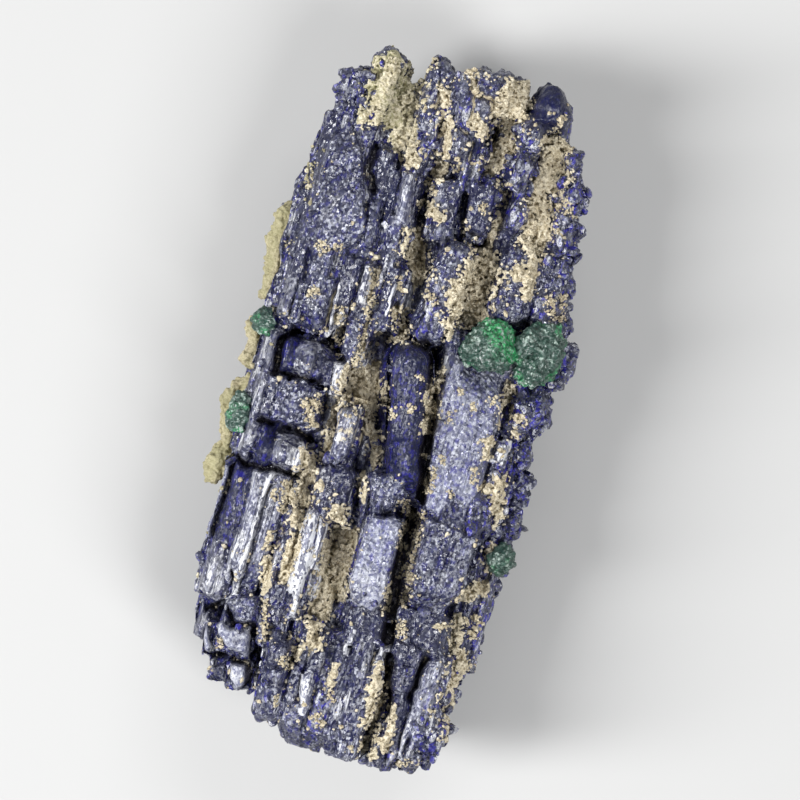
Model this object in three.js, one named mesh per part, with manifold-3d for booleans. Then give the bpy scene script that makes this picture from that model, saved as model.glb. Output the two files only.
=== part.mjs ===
// An azurite specimen: one composite crystal of side-by-side blades, with malachite nodules and an
// earthy crust on it, lying on its back. Millimetres. X runs across the blades, Y along them from the
// foot to the crown, and Z up from the surface that the specimen rests on, so the display face looks up.
import * as THREE from "three";
import { ConvexGeometry } from "three/addons/geometries/ConvexGeometry.js";
import { mergeVertices } from "three/addons/utils/BufferGeometryUtils.js";
import Module from "manifold-3d";

const wasm = await Module();
wasm.setup();

// Driving dimensions
const CREST = 13.6; // height of the display face along its middle
const BOW = 1.5; // how far the display face falls away at BOW_AT from the middle
const BOW_AT = 9;
const BLADE_DEPTH = 4.2; // how deep a display blade is rooted below its own face
const GAP = 0.3; // clearance between two minerals
const CORE_INSET = 2.7; // how far the solid heart lies below the display face
const CRYSTAL_EASE = 0.06; // how far the crystal's smallest facets may move when they are merged
const CRUST_EASE = 0.18; // the same for the malachite's and the crust's

// ---------------------------------------------------------------- small helpers

// A repeatable stream of numbers from 0 to 1.
function stream(seed) {
  let state = seed >>> 0;
  return () => {
    state = (state + 0x6d2b79f5) >>> 0;
    let mixed = Math.imul(state ^ (state >>> 15), 1 | state);
    mixed = (mixed + Math.imul(mixed ^ (mixed >>> 7), 61 | mixed)) ^ mixed;
    return ((mixed ^ (mixed >>> 14)) >>> 0) / 4294967296;
  };
}

function solidOf(geometry) {
  const bare = new THREE.BufferGeometry().setAttribute("position", geometry.getAttribute("position"));
  const merged = mergeVertices(bare, 1e-5);
  return new wasm.Manifold(
    new wasm.Mesh({
      numProp: 3,
      vertProperties: new Float32Array(merged.attributes.position.array),
      triVerts: new Uint32Array(merged.index.array),
    }),
  );
}

function geometryOf(solid) {
  const mesh = solid.getMesh();
  const geometry = new THREE.BufferGeometry();
  geometry.setAttribute("position", new THREE.BufferAttribute(mesh.vertProperties, mesh.numProp));
  geometry.setIndex(new THREE.BufferAttribute(mesh.triVerts, 1));
  geometry.computeVertexNormals();
  return geometry;
}

const joined = (solids) => wasm.Manifold.union(solids);

// The largest body of a piece, with facets merged where that moves nothing farther than ease.
function mainBody(solid, ease) {
  const bodies = solid.simplify(ease).decompose();
  return bodies.reduce((best, next) => (next.volume() > best.volume() ? next : best));
}

// ---------------------------------------------------------------- shapes

// Outlines of a blade across its length: [sideways share of the width, drop share of the width].
const PROFILES = {
  flat: [[-0.36, 0], [0.36, 0], [0.5, 0.2], [-0.5, 0.2]],
  ridge: [[-0.12, 0], [0.05, 0], [0.5, 0.34], [-0.5, 0.26]],
  round: [[-0.24, 0], [0.24, 0], [0.46, 0.17], [0.5, 0.36], [-0.5, 0.36], [-0.46, 0.17]],
};

// Ends of a blade: [share of the width from the tip, share of the section kept, drop share of the width].
const ENDS = {
  cut: [[0, 1, 0]],
  blunt: [[0, 0.82, 0.14], [0.12, 1, 0]],
  chisel: [[0, 0.62, 0.4], [0.5, 1, 0]],
  dome: [[0, 0.5, 0.26], [0.32, 1, 0]],
};

// Pairs of ends that come up often: head first, then foot.
const CHISEL_TOP = ["chisel", "blunt"];
const CHISEL_FOOT = ["blunt", "chisel"];
const TWO_CHISELS = ["chisel", "chisel"];
const DOME_TOP = ["dome", "blunt"];
const DOME_FOOT = ["blunt", "dome"];

// A blade from its head to its foot. roll turns its face about its own length, and grow swells it.
function blade({ head, foot, width, roll, profile = "flat", ends = ["blunt", "cut"], depth }, grow = 0) {
  const top = new THREE.Vector3(...head);
  const bottom = new THREE.Vector3(...foot);
  const along = top.clone().sub(bottom);
  const length = along.length();
  along.normalize();
  const angle = THREE.MathUtils.degToRad(roll);
  const out = new THREE.Vector3(Math.sin(angle), 0, Math.cos(angle));
  const side = new THREE.Vector3().crossVectors(along, out).normalize();
  out.crossVectors(side, along).normalize();

  const points = [];
  function ring(distance, kept, drop) {
    const centre = bottom.clone().addScaledVector(along, distance);
    for (const [across, down] of PROFILES[profile]) {
      const reach = across * width * kept + Math.sign(across) * grow;
      const level = -down * width * kept - drop * width + grow;
      points.push(centre.clone().addScaledVector(side, reach).addScaledVector(out, level));
    }
    const rootReach = 0.5 * width * kept + grow;
    for (const sign of [-1, 1]) {
      const root = centre.clone().addScaledVector(side, sign * rootReach);
      points.push(root.addScaledVector(out, -depth - grow));
    }
  }
  for (const [inset, kept, drop] of ENDS[ends[0]]) ring(length + grow - inset * width, kept, drop);
  for (const [inset, kept, drop] of ENDS[ends[1]]) ring(inset * width - grow, kept, drop);
  return solidOf(new ConvexGeometry(points));
}

// A faceted lump: the hull of points spread evenly over an ellipsoid and nudged about.
function lump({ at, radii, corners = 16, seed = 1, nudge = 0.16 }, grow = 0) {
  const next = stream(seed * 7919 + corners);
  const golden = Math.PI * (3 - Math.sqrt(5));
  const points = [];
  for (let i = 0; i < corners; i += 1) {
    const level = 1 - (2 * (i + 0.5)) / corners;
    const ringRadius = Math.sqrt(1 - level * level);
    const turn = golden * i + next() * 0.6;
    const swell = 1 + nudge * (next() - 0.5);
    points.push(
      new THREE.Vector3(
        at[0] + (radii[0] * swell + grow) * ringRadius * Math.cos(turn),
        at[1] + (radii[1] * swell + grow) * ringRadius * Math.sin(turn),
        at[2] + (radii[2] * swell + grow) * level,
      ),
    );
  }
  return solidOf(new ConvexGeometry(points));
}

// ---------------------------------------------------------------- azurite

// Height of the display face at x, and the lean of that face there in degrees.
const faceHeight = (x) => CREST - BOW * (x / BOW_AT) ** 2;
const faceLean = (x) => THREE.MathUtils.radToDeg(Math.atan((2 * BOW * x) / BOW_AT ** 2));

// Blades of the display face: head and foot are [x, y, lift above the display face].
const DISPLAY_BLADES = [
  // crown
  { head: [-8.6, 22.7, -2.0], foot: [-8.9, 17.0, -1.4], width: 1.9, ends: DOME_TOP },
  { head: [-6.9, 24.5, -1.5], foot: [-7.3, 17.6, -0.6], width: 2.1, ends: DOME_TOP },
  { head: [-3.2, 24.7, -1.5], foot: [-3.1, 16.0, -0.5], width: 1.9, ends: CHISEL_TOP },
  { head: [-0.2, 25.2, -1.6], foot: [-0.1, 21.5, -0.2], width: 3.9, profile: "round", ends: DOME_TOP },
  { head: [1.4, 24.9, -1.4], foot: [1.3, 21.8, -0.6], width: 1.7, ends: DOME_TOP },
  { head: [2.7, 24.9, -2.2], foot: [2.7, 21.8, -1.5], width: 1.5, ends: DOME_TOP },
  { head: [-0.9, 22.0, -0.4], foot: [-0.7, 17.6, -0.6], width: 1.9, tilt: 8 },
  { head: [0.8, 21.9, -0.9], foot: [0.9, 18.4, -1.0], width: 1.4, profile: "ridge" },
  { head: [0.7, 19.0, -0.8], foot: [0.8, 15.9, -0.7], width: 1.4, profile: "ridge" },
  { head: [2.0, 16.9, -0.2], foot: [2.3, 12.6, -0.4], width: 1.9, tilt: -8, ends: CHISEL_FOOT },
  { head: [-0.5, 16.4, -0.9], foot: [-0.2, 12.0, -0.7], width: 2.3 },
  { head: [-5.0, 17.5, -0.9], foot: [-5.0, 12.0, -0.7], width: 1.6, tilt: 10 },
  { head: [-3.4, 16.3, 0.0], foot: [-3.1, 9.4, -0.2], width: 1.9, profile: "ridge", tilt: -6 },
  // upper left face
  { head: [-7.7, 18.3, -0.2], foot: [-7.9, 3.7, 0.4], width: 4.1, ends: CHISEL_TOP },
  { head: [-5.9, 14.0, -0.3], foot: [-5.6, 9.3, 0.1], width: 2.8, ends: CHISEL_TOP },
  { head: [-5.7, 9.1, 0.0], foot: [-5.6, 4.7, -0.2], width: 1.3 },
  { head: [-4.4, 9.4, 0.2], foot: [-4.4, 5.1, 0.1], width: 1.1, profile: "ridge" },
  { head: [-3.2, 9.2, 0.1], foot: [-3.2, 4.2, -0.2], width: 1.1 },
  { head: [-1.9, 9.6, 0.0], foot: [-1.8, 4.9, -0.2], width: 1.3, profile: "ridge" },
  { head: [-3.8, 4.9, -0.5], foot: [-3.8, 1.9, -0.6], width: 1.8 },
  // upper middle and right
  { head: [1.7, 12.5, 0.0], foot: [1.0, 4.9, 0.2], width: 2.9, profile: "round", ends: ["dome", "dome"] },
  { head: [5.9, 13.8, -0.3], foot: [6.0, 7.2, 0.1], width: 2.8, ends: TWO_CHISELS },
  { head: [8.3, 13.7, -0.5], foot: [8.5, 8.4, -0.2], width: 2.0 },
  // steps of the middle left
  { head: [-6.7, 3.4, -0.3], foot: [-6.5, 0.2, 0.0], width: 3.9, profile: "round", ends: DOME_TOP },
  { head: [-4.5, 1.9, -0.1], foot: [-4.4, -0.3, -0.1], width: 1.4 },
  { head: [-7.1, 0.1, -0.6], foot: [-6.8, -3.0, -0.1], width: 3.9 },
  { head: [-6.9, -3.3, -0.4], foot: [-6.8, -5.9, 0.2], width: 4.2, profile: "round", ends: DOME_TOP },
  { head: [-7.3, -6.1, 0.1], foot: [-7.2, -15.7, 0.0], width: 4.3, profile: "ridge", ends: CHISEL_FOOT },
  { head: [-5.0, -8.6, -0.3], foot: [-4.8, -15.4, -0.4], width: 1.7, profile: "ridge" },
  // middle
  { head: [-2.8, -0.6, 0.2], foot: [-2.7, -5.1, 0.1], width: 1.6 },
  { head: [-2.4, -4.9, -0.7], foot: [-2.0, -8.8, -0.4], width: 3.1, tilt: 14 },
  { head: [0.2, 4.7, 0.9], foot: [2.9, -6.1, 0.4], width: 3.1, profile: "round", ends: ["dome", "chisel"] },
  { head: [0.7, -4.4, -0.1], foot: [1.0, -8.6, 0.0], width: 2.6, ends: DOME_TOP },
  { head: [1.7, -7.3, 0.2], foot: [1.7, -14.1, 0.4], width: 2.9, ends: DOME_FOOT },
  { head: [-3.1, -8.4, 0.0], foot: [-3.1, -15.9, 0.0], width: 1.7, ends: TWO_CHISELS },
  // broad right face
  { head: [5.5, 4.5, 0.0], foot: [5.6, -6.5, 0.2], width: 4.6, ends: CHISEL_TOP },
  { head: [3.1, 6.4, -0.4], foot: [3.4, 0.5, -0.3], width: 1.5 },
  { head: [6.4, -6.1, 0.4], foot: [6.4, -13.1, 0.1], width: 4.4, ends: DOME_FOOT },
  { head: [8.5, 0.8, -0.3], foot: [8.5, -6.6, -0.4], width: 1.9 },
  // foot
  { head: [2.3, -13.8, -0.6], foot: [2.4, -16.6, -0.3], width: 3.2 },
  { head: [6.2, -12.8, -0.6], foot: [6.2, -16.5, -0.3], width: 4.2 },
  { head: [3.1, -16.2, 0.2], foot: [3.2, -24.9, -1.5], width: 2.3, ends: CHISEL_TOP },
  { head: [-0.2, -16.4, -0.1], foot: [0.0, -25.2, -1.7], width: 3.7, tilt: -5, ends: TWO_CHISELS },
  { head: [-3.3, -17.8, 0.1], foot: [-3.2, -19.9, -0.1], width: 1.8, ends: DOME_FOOT },
  { head: [-3.1, -19.5, -0.4], foot: [-2.9, -24.0, -1.9], width: 2.1, ends: CHISEL_FOOT },
  { head: [5.7, -16.2, -0.2], foot: [5.9, -24.8, -1.7], width: 1.6 },
  { head: [7.8, -15.9, 0.1], foot: [7.8, -24.5, -1.5], width: 2.3, ends: CHISEL_FOOT },
  { head: [-3.9, -15.5, -0.5], foot: [-3.9, -18.3, -0.4], width: 1.8 },
  { head: [-1.6, -15.7, -0.7], foot: [-1.4, -18.4, -0.6], width: 2.2 },
  { head: [-6.5, -15.3, -0.7], foot: [-6.4, -17.7, -0.6], width: 3.3 },
  // blocky crystals at the foot's left corner
  { head: [-6.6, -17.4, -0.1], foot: [-6.3, -19.7, -0.6], width: 3.0, tilt: 10, ends: CHISEL_TOP },
  { head: [-8.2, -17.9, -1.2], foot: [-7.9, -20.4, -1.7], width: 1.4 },
  { head: [-5.5, -19.9, -0.7], foot: [-5.2, -22.1, -1.3], width: 2.0, tilt: 12 },
  { head: [-9.0, -16.0, -1.9], foot: [-8.9, -19.4, -2.6], width: 1.6 },
  { head: [-7.1, -20.3, -2.0], foot: [-6.8, -22.0, -2.9], width: 1.8 },
];

// Blades of the flanks: head and foot are [x, y, z], and roll is where the face looks from straight up.
const FLANK_BLADES = [
  { head: [-9.7, 19.2, 10.6], foot: [-9.9, 4.6, 11.2], width: 2.2, roll: -42, depth: 3.4 },
  { head: [-9.9, 4.3, 10.9], foot: [-10.0, -5.9, 10.9], width: 2.0, roll: -46, depth: 3.4 },
  { head: [-8.9, 3.1, 12.2], foot: [-9.0, -5.6, 12.0], width: 1.6, roll: -24, depth: 3.2 },
  { head: [-9.9, -6.1, 10.8], foot: [-9.6, -16.2, 10.4], width: 2.2, roll: -46, depth: 3.4 },
  { head: [-10.5, 16.8, 7.4], foot: [-10.6, 11.6, 7.4], width: 1.8, roll: -78, depth: 3.2 },
  { head: [-10.2, 11.0, 8.0], foot: [-10.2, -4.0, 7.6], width: 3.2, roll: -72, depth: 3.4 },
  { head: [-10.0, -4.4, 7.4], foot: [-9.5, -17.6, 6.8], width: 3.4, roll: -76, depth: 3.4 },
  { head: [-9.4, 20.6, 7.2], foot: [-9.9, 11.2, 6.6], width: 3.4, roll: -84, depth: 3.2 },
  { head: [-9.5, 16.4, 4.4], foot: [-9.8, 3.0, 4.2], width: 2.8, roll: -106, depth: 3.2 },
  { head: [-9.7, 2.4, 4.4], foot: [-9.2, -14.6, 4.2], width: 2.8, roll: -110, depth: 3.2, profile: "ridge" },
  { head: [8.3, 16.6, 11.0], foot: [9.7, 8.0, 11.4], width: 2.5, roll: 40, depth: 3.6 },
  { head: [4.9, 23.4, 10.2], foot: [5.6, 13.0, 11.2], width: 4.6, roll: 16, depth: 5.0, ends: CHISEL_TOP },
  { head: [8.6, 15.2, 8.2], foot: [10.2, 8.3, 8.8], width: 3.0, roll: 74, depth: 3.6 },
  { head: [8.0, 20.2, 7.6], foot: [9.2, 13.8, 6.4], width: 3.2, roll: 84, depth: 3.4 },
  { head: [9.4, 8.8, 9.9], foot: [9.6, -6.2, 9.6], width: 3.2, roll: 60, depth: 3.6 },
  { head: [10.2, -6.4, 9.6], foot: [10.2, -16.6, 9.2], width: 2.6, roll: 58, depth: 3.6 },
  { head: [10.4, 9.6, 6.2], foot: [10.5, -1.4, 5.6], width: 3.4, roll: 88, depth: 3.4 },
  { head: [10.3, -1.8, 5.8], foot: [10.4, -15.4, 5.4], width: 3.6, roll: 92, depth: 3.4 },
  { head: [9.9, -14.2, 8.6], foot: [9.2, -22.6, 7.4], width: 3.0, roll: 74, depth: 3.4 },
];

// Rounded crystals of the crown and of the right edge.
const ROUNDED_CRYSTALS = [
  { at: [5.1, 23.0, 10.6], radii: [1.7, 2.2, 2.1], corners: 13, seed: 3 },
  { at: [6.3, 22.0, 9.8], radii: [0.75, 1.5, 1.4], corners: 10, seed: 5 },
  { at: [4.2, 20.9, 11.4], radii: [1.4, 1.6, 1.6], corners: 12, seed: 7 },
  { at: [4.1, 18.0, 11.8], radii: [1.45, 1.6, 1.5], corners: 12, seed: 8 },
  { at: [4.8, 15.3, 11.6], radii: [1.1, 1.9, 1.4], corners: 12, seed: 9 },
  { at: [7.4, 20.0, 9.8], radii: [1.0, 1.4, 1.7], corners: 10, seed: 10 },
  { at: [8.0, 17.6, 10.0], radii: [1.25, 2.0, 1.9], corners: 12, seed: 11 },
  { at: [10.1, 6.1, 9.2], radii: [1.55, 2.05, 2.4], corners: 14, seed: 12 },
  { at: [9.6, 2.4, 10.2], radii: [1.35, 2.0, 2.1], corners: 13, seed: 13 },
  { at: [9.5, -0.9, 9.8], radii: [1.0, 1.4, 1.9], corners: 10, seed: 14 },
  { at: [10.0, -3.2, 9.2], radii: [0.9, 1.4, 2.0], corners: 10, seed: 15 },
  { at: [10.2, -5.6, 8.8], radii: [0.85, 1.3, 2.0], corners: 10, seed: 16 },
  { at: [9.0, -21.4, 10.2], radii: [1.1, 2.1, 2.0], corners: 12, seed: 17 },
  { at: [8.0, -23.4, 9.4], radii: [1.1, 1.0, 1.9], corners: 10, seed: 18 },
];

// Blades that carry the specimen: their faces lie in the resting plane, z = 0.
const RESTING_BLADES = [
  { head: [-4.9, 6.0, 0], foot: [-4.6, -17.5, 0], width: 3.4, ends: TWO_CHISELS },
  { head: [4.9, 18.0, 0], foot: [5.2, -3.5, 0], width: 3.6, ends: CHISEL_TOP },
  { head: [2.2, -7.0, 0], foot: [2.3, -20.0, 0], width: 3.0, ends: CHISEL_FOOT },
];

// Outline of the solid heart: at each y, [left x, right x] and [lowest z, highest z].
const CORE_STATIONS = [
  { y: -22.2, reach: [-3.0, 7.8], level: [3.8, 9.4] },
  { y: -20.0, reach: [-6.0, 8.6], level: [2.4, 10.4] },
  { y: -15.0, reach: [-8.9, 9.2], level: [1.8, CREST - CORE_INSET] },
  { y: 8.0, reach: [-9.1, 9.2], level: [1.6, CREST - CORE_INSET] },
  { y: 18.0, reach: [-8.4, 7.0], level: [2.1, CREST - CORE_INSET] },
  { y: 22.4, reach: [-7.0, 5.0], level: [3.8, 10.0] },
];

function core(grow = 0) {
  const points = [];
  for (const { y, reach, level } of CORE_STATIONS) {
    const middle = (level[0] + level[1]) / 2;
    const half = (level[1] - level[0]) / 2 + grow;
    const shoulder = (reach[1] - reach[0]) * 0.2;
    for (const [edge, sign] of [[reach[0] - grow, 1], [reach[1] + grow, -1]]) {
      for (const [inset, share] of [[0, -0.35], [0, 0.35], [shoulder, -1], [shoulder, 1]]) {
        points.push(new THREE.Vector3(edge + sign * inset, y, middle + share * half));
      }
    }
  }
  return solidOf(new ConvexGeometry(points));
}

// Where the crown and the foot end at x: both ends are bowed, the foot about a line off the middle.
const CROWN_Y = 24.3;
const FOOT_Y = -24.4;
const END_BOW = 0.075;
const crownEnd = (x) => CROWN_Y - END_BOW * (x + 1.5) ** 2;
const footEnd = (x) => FOOT_Y + END_BOW * (x - 2.5) ** 2;

// The back: its height above the resting plane at x, and the direction that it faces there.
const BACK_CLEARANCE = 0.5;
const BACK_RISE = 5.2;
const BACK_HALF_WIDTH = 10.3;
const BACK_POWER = 3.2;
const backHeight = (x) => BACK_CLEARANCE + BACK_RISE * (Math.abs(x) / BACK_HALF_WIDTH) ** BACK_POWER;
function backRoll(x) {
  const share = (Math.abs(x) / BACK_HALF_WIDTH) ** (BACK_POWER - 1);
  const slope = Math.atan(((BACK_RISE * BACK_POWER) / BACK_HALF_WIDTH) * share);
  return 180 - Math.sign(x) * THREE.MathUtils.radToDeg(slope);
}

// Blades over the back, in staggered columns from the crown to the foot.
const BACK_COLUMNS = [-8.9, -6.4, -3.2, -0.2, 2.8, 6.2, 8.8];
function backBlades() {
  const next = stream(41);
  const found = [];
  for (const x of BACK_COLUMNS) {
    let y = crownEnd(x) - 1.2 * next();
    const last = footEnd(x) + 1.2 * next();
    while (y - last > 2) {
      const rest = y - last;
      const length = rest < 16 ? rest : 9 + 9 * next();
      const level = backHeight(x) + 0.8 * next() - 0.15;
      found.push({
        head: [x + 0.5 * (next() - 0.5), y, level],
        foot: [x + 0.5 * (next() - 0.5), y - length, level + 0.4 * (next() - 0.5)],
        width: 3.2 + 1.1 * next(),
        roll: backRoll(x) + 14 * (next() - 0.5),
        profile: next() < 0.65 ? "flat" : "ridge",
        ends: [next() < 0.5 ? "blunt" : "chisel", next() < 0.6 ? "cut" : "chisel"],
        depth: 3.4,
      });
      y -= length + 0.2;
    }
  }
  return found;
}

// Ends of the inner blades, stepped in and out over the crown and the foot.
const END_LEVELS = [3.8, 7.4];
const END_COLUMNS = [-5.0, -1.1, 2.8, 6.6];
function endBlades() {
  const next = stream(77);
  const found = [];
  for (const z of END_LEVELS) {
    for (const x of END_COLUMNS) {
      const retreat = z < 4 ? 1.2 : 0.5;
      const width = 3.9 + 0.6 * next();
      const level = z + 1.8 + 0.5 * next();
      const crown = crownEnd(x) - retreat - 0.9 * next();
      const foot = footEnd(x) + retreat + 0.9 * next();
      const common = { width, roll: 24 * (next() - 0.5), depth: 3.8 };
      const atCrown = { head: [x, crown, level], foot: [x, crown - 4, level], ends: ["chisel", "cut"] };
      const atFoot = { head: [x, foot + 4, level], foot: [x, foot, level], ends: ["cut", "blunt"] };
      found.push({ ...common, ...atCrown }, { ...common, ...atFoot });
    }
  }
  return found;
}

function displayBlade({ head, foot, tilt = 0, ...rest }) {
  const raised = ([x, y, lift]) => [x, y, faceHeight(x) + lift];
  const roll = faceLean((head[0] + foot[0]) / 2) + tilt;
  return { head: raised(head), foot: raised(foot), roll, depth: BLADE_DEPTH, ...rest };
}

function azurite(grow = 0) {
  return joined([
    core(grow),
    ...DISPLAY_BLADES.map((spec) => blade(displayBlade(spec), grow)),
    ...FLANK_BLADES.map((spec) => blade(spec, grow)),
    ...RESTING_BLADES.map((spec) => blade({ ...spec, roll: 180, depth: 3.6 }, grow)),
    ...backBlades().map((spec) => blade(spec, grow)),
    ...endBlades().map((spec) => blade(spec, grow)),
    ...ROUNDED_CRYSTALS.map((spec) => lump(spec, grow)),
  ]);
}

// ---------------------------------------------------------------- malachite

// Green nodules and patches.
const MALACHITE = {
  malachite_round_nodule: { at: [5.25, 5.8, 13.3], radii: [1.95, 2, 1.5], corners: 20, seed: 21, nudge: 0.05 },
  malachite_blocky_nodule: { at: [8.7, 6.3, 12.6], radii: [1.9, 2.3, 1.7], corners: 14, seed: 27 },
  malachite_left_upper_patch: { at: [-10.1, 3.5, 11.15], radii: [0.8, 1.0, 0.8], corners: 10, seed: 23 },
  malachite_left_lower_patch: { at: [-10.2, -3.1, 11.1], radii: [0.8, 1.2, 0.9], corners: 10, seed: 29 },
  malachite_right_patch: { at: [10.1, -8.1, 10.7], radii: [0.8, 1.2, 0.9], corners: 10, seed: 30 },
};

// ---------------------------------------------------------------- earthy crust

// Crust masses: chains of lumps along a route of [x, y, z, radius].
const CRUSTS = {
  crust_crown: [
    [-5.0, 23.4, 11.6, 1.3],
    [-5.2, 21.4, 12.3, 1.6],
    [-5.1, 19.2, 12.5, 1.3],
  ],
  crust_crown_right: [
    [2.3, 23.4, 12.1, 1.0],
    [3.2, 22.0, 12.2, 0.9],
  ],
  crust_upper_seam: [
    [-2.0, 15.8, 12.6, 0.8],
    [-1.8, 13.4, 12.7, 1.0],
    [-1.6, 11.2, 12.7, 0.9],
  ],
  crust_upper_right: [
    [6.1, 20.2, 11.8, 1.1],
    [6.6, 15.6, 12.0, 1.1],
  ],
  crust_centre_right: [
    [3.3, 11.2, 12.5, 1.0],
    [3.4, 8.9, 12.6, 1.2],
  ],
  crust_finger_left: [
    [-3.0, 1.2, 12.8, 0.9],
    [-1.6, -0.6, 12.8, 1.0],
    [-0.4, -3.2, 12.7, 0.8],
  ],
  crust_finger_right: [
    [2.3, 3.2, 13.2, 0.7],
    [2.7, 0.6, 13.1, 0.7],
  ],
  crust_left_seam: [
    [-4.6, -5.2, 12.6, 0.9],
    [-4.8, -7.6, 12.6, 0.9],
  ],
  crust_lower_seam: [
    [-1.1, -8.8, 12.5, 1.0],
    [-0.8, -11.6, 12.7, 1.1],
    [-0.9, -14.6, 12.5, 1.0],
  ],
  crust_right_seam: [
    [8.6, -2.8, 12.4, 0.9],
    [9.0, -5.4, 12.0, 0.9],
  ],
  crust_foot_seam: [
    [4.6, -17.6, 12.7, 0.8],
    [4.7, -20.2, 12.4, 0.9],
    [4.9, -22.8, 11.8, 0.8],
  ],
  crust_foot_right: [
    [9.3, -14.6, 11.2, 1.0],
    [9.8, -17.2, 10.9, 1.2],
    [9.7, -19.6, 10.6, 1.0],
  ],
  crust_left_edge_upper: [
    [-10.5, 10.8, 8.8, 1.0],
    [-10.6, 8.6, 8.9, 1.1],
    [-10.4, 6.0, 9.1, 0.9],
  ],
  crust_left_edge_middle: [
    [-10.6, 2.8, 9.0, 0.9],
    [-10.4, 0.9, 9.0, 0.9],
  ],
  crust_left_edge_lower: [
    [-10.6, -1.8, 8.9, 1.1],
    [-10.3, -4.7, 8.9, 0.9],
    [-10.7, -7.6, 8.7, 1.0],
  ],
};

function crustSolid(route, seed) {
  const lumps = route.map(([x, y, z, radius], i) => {
    const radii = [radius, radius * 1.15, radius * 0.95];
    return lump({ at: [x, y, z], radii, corners: 9, seed: seed + i, nudge: 0.3 });
  });
  const spans = lumps.slice(1).map((next, i) => wasm.Manifold.hull([lumps[i], next]));
  return joined(spans);
}

// ---------------------------------------------------------------- assembly

const blue = new THREE.MeshStandardMaterial({ color: 0x1b2448, roughness: 0.3, metalness: 0 });
const green = new THREE.MeshStandardMaterial({ color: 0x1f5f3f, roughness: 0.5, metalness: 0 });
const tan = new THREE.MeshStandardMaterial({ color: 0xb5a77a, roughness: 0.95, metalness: 0 });

const pieces = [{ name: "azurite_crystal", solid: mainBody(azurite(), CRYSTAL_EASE), material: blue }];

let taken = azurite(GAP); // the room that later pieces stay out of
for (const [name, spec] of Object.entries(MALACHITE)) {
  pieces.push({ name, solid: mainBody(lump(spec).subtract(taken), CRUST_EASE), material: green });
  taken = taken.add(lump(spec, GAP));
}
Object.entries(CRUSTS).forEach(([name, route], i) => {
  const left = crustSolid(route, 100 + 10 * i).subtract(taken);
  pieces.push({ name, solid: mainBody(left, CRUST_EASE), material: tan });
});

// The origin is in the resting plane, under the middle of the whole specimen.
function middleOf(axis) {
  const boxes = pieces.map(({ solid }) => solid.boundingBox());
  const low = Math.min(...boxes.map(({ min }) => min[axis]));
  const high = Math.max(...boxes.map(({ max }) => max[axis]));
  return (low + high) / 2;
}

const middle = [middleOf(0), middleOf(1)];
const group = new THREE.Group();
group.name = "azurite_specimen";
for (const { name, solid, material } of pieces) {
  const mesh = new THREE.Mesh(geometryOf(solid.translate([-middle[0], -middle[1], 0])), material.clone());
  mesh.name = name;
  group.add(mesh);
}

export default group;
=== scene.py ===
import itertools
import math

import bmesh
import bpy
import numpy as np
from mathutils import Matrix, Vector
from mathutils.bvhtree import BVHTree


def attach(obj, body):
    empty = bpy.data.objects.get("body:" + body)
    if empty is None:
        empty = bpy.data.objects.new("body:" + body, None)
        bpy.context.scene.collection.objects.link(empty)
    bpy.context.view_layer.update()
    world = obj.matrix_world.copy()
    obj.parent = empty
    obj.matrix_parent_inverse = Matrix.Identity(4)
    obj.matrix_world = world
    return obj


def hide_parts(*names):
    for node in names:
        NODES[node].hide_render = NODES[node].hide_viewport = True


# The frame. Everything below works in millimetres and is scaled to metres at the end.
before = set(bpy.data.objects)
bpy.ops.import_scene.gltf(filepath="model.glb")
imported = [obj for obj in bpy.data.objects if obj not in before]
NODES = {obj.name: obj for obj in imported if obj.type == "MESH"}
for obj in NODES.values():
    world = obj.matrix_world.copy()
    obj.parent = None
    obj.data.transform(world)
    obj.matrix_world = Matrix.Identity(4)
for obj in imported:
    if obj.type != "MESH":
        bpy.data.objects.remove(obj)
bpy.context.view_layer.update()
MALACHITE = sorted(name for name in NODES if name.startswith("malachite"))
CRUSTS = sorted(name for name in NODES if name.startswith("crust"))
MM = 0.001

# The crystal: where its display side is cut from the rest, and how many triangles each piece keeps.
SPLIT = 6.9
DISPLAY_FACES = 172000
UNDER_FACES = 130000
# Gloss from which its faces are shaded smooth.
GLASSY = 0.3
# Millimetres to one unit of rise, in LATHS and in PLATES.
LATH_RISE = 0.66
PLATE_RISE = 0.8
# How level a crystal's top is: how far in from its edge the bevel ends.
SHOULDER = 0.55
PLATE_SHOULDER = 0.22
# Sizes of the faces that surfaces are remade with.
CRYSTAL_VOXEL = 0.12
EDGE_VOXEL = 0.11
MALACHITE_VOXEL = 0.08
STUD_VOXEL = 0.075
MASS_VOXEL = 0.065
# How many of its triangles a crust and a malachite keep.
GRAIN_SHARE = 0.45
DRUSE_SHARE = 0.6
# How many loose grains and small crystals there are, apart from those listed.
GRAIN_COUNT = 3000
DRUSE_COUNT = 1300
# How closely the grains of crust lie, and how large they are.
GRAIN_PITCH = 0.15
MASS_GRAIN = 0.105
DAB_GRAIN = 0.1
# The side of the round malachite that is bright green.
GREEN_SIDE = (0.6, 0.8, 0.0)
# Widths and lengths of the crystal columns: on the display face, broad and fine ones on the flanks.
FACE_COLUMNS = (0.75, 3.4)
BROAD_BLADES = (1.7, 6.5)
FINE_BLADES = (0.6, 2.8)
# How far across the grit of the frosted faces and of laid crust is.
GRIT = 0.34
# How many times the display face is smoothed to even it out, and the whole to find its hollows.
EVEN_ROUNDS = 46
HOLLOW_ROUNDS = 38
# Steps of a turn that spread things evenly.
GOLDEN = 0.618
GOLDEN_TURN = 2.39996


# ---------------------------------------------------------------- repeatable noise

# Each use of these has a seed of its own, so that no two patterns match.


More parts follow.
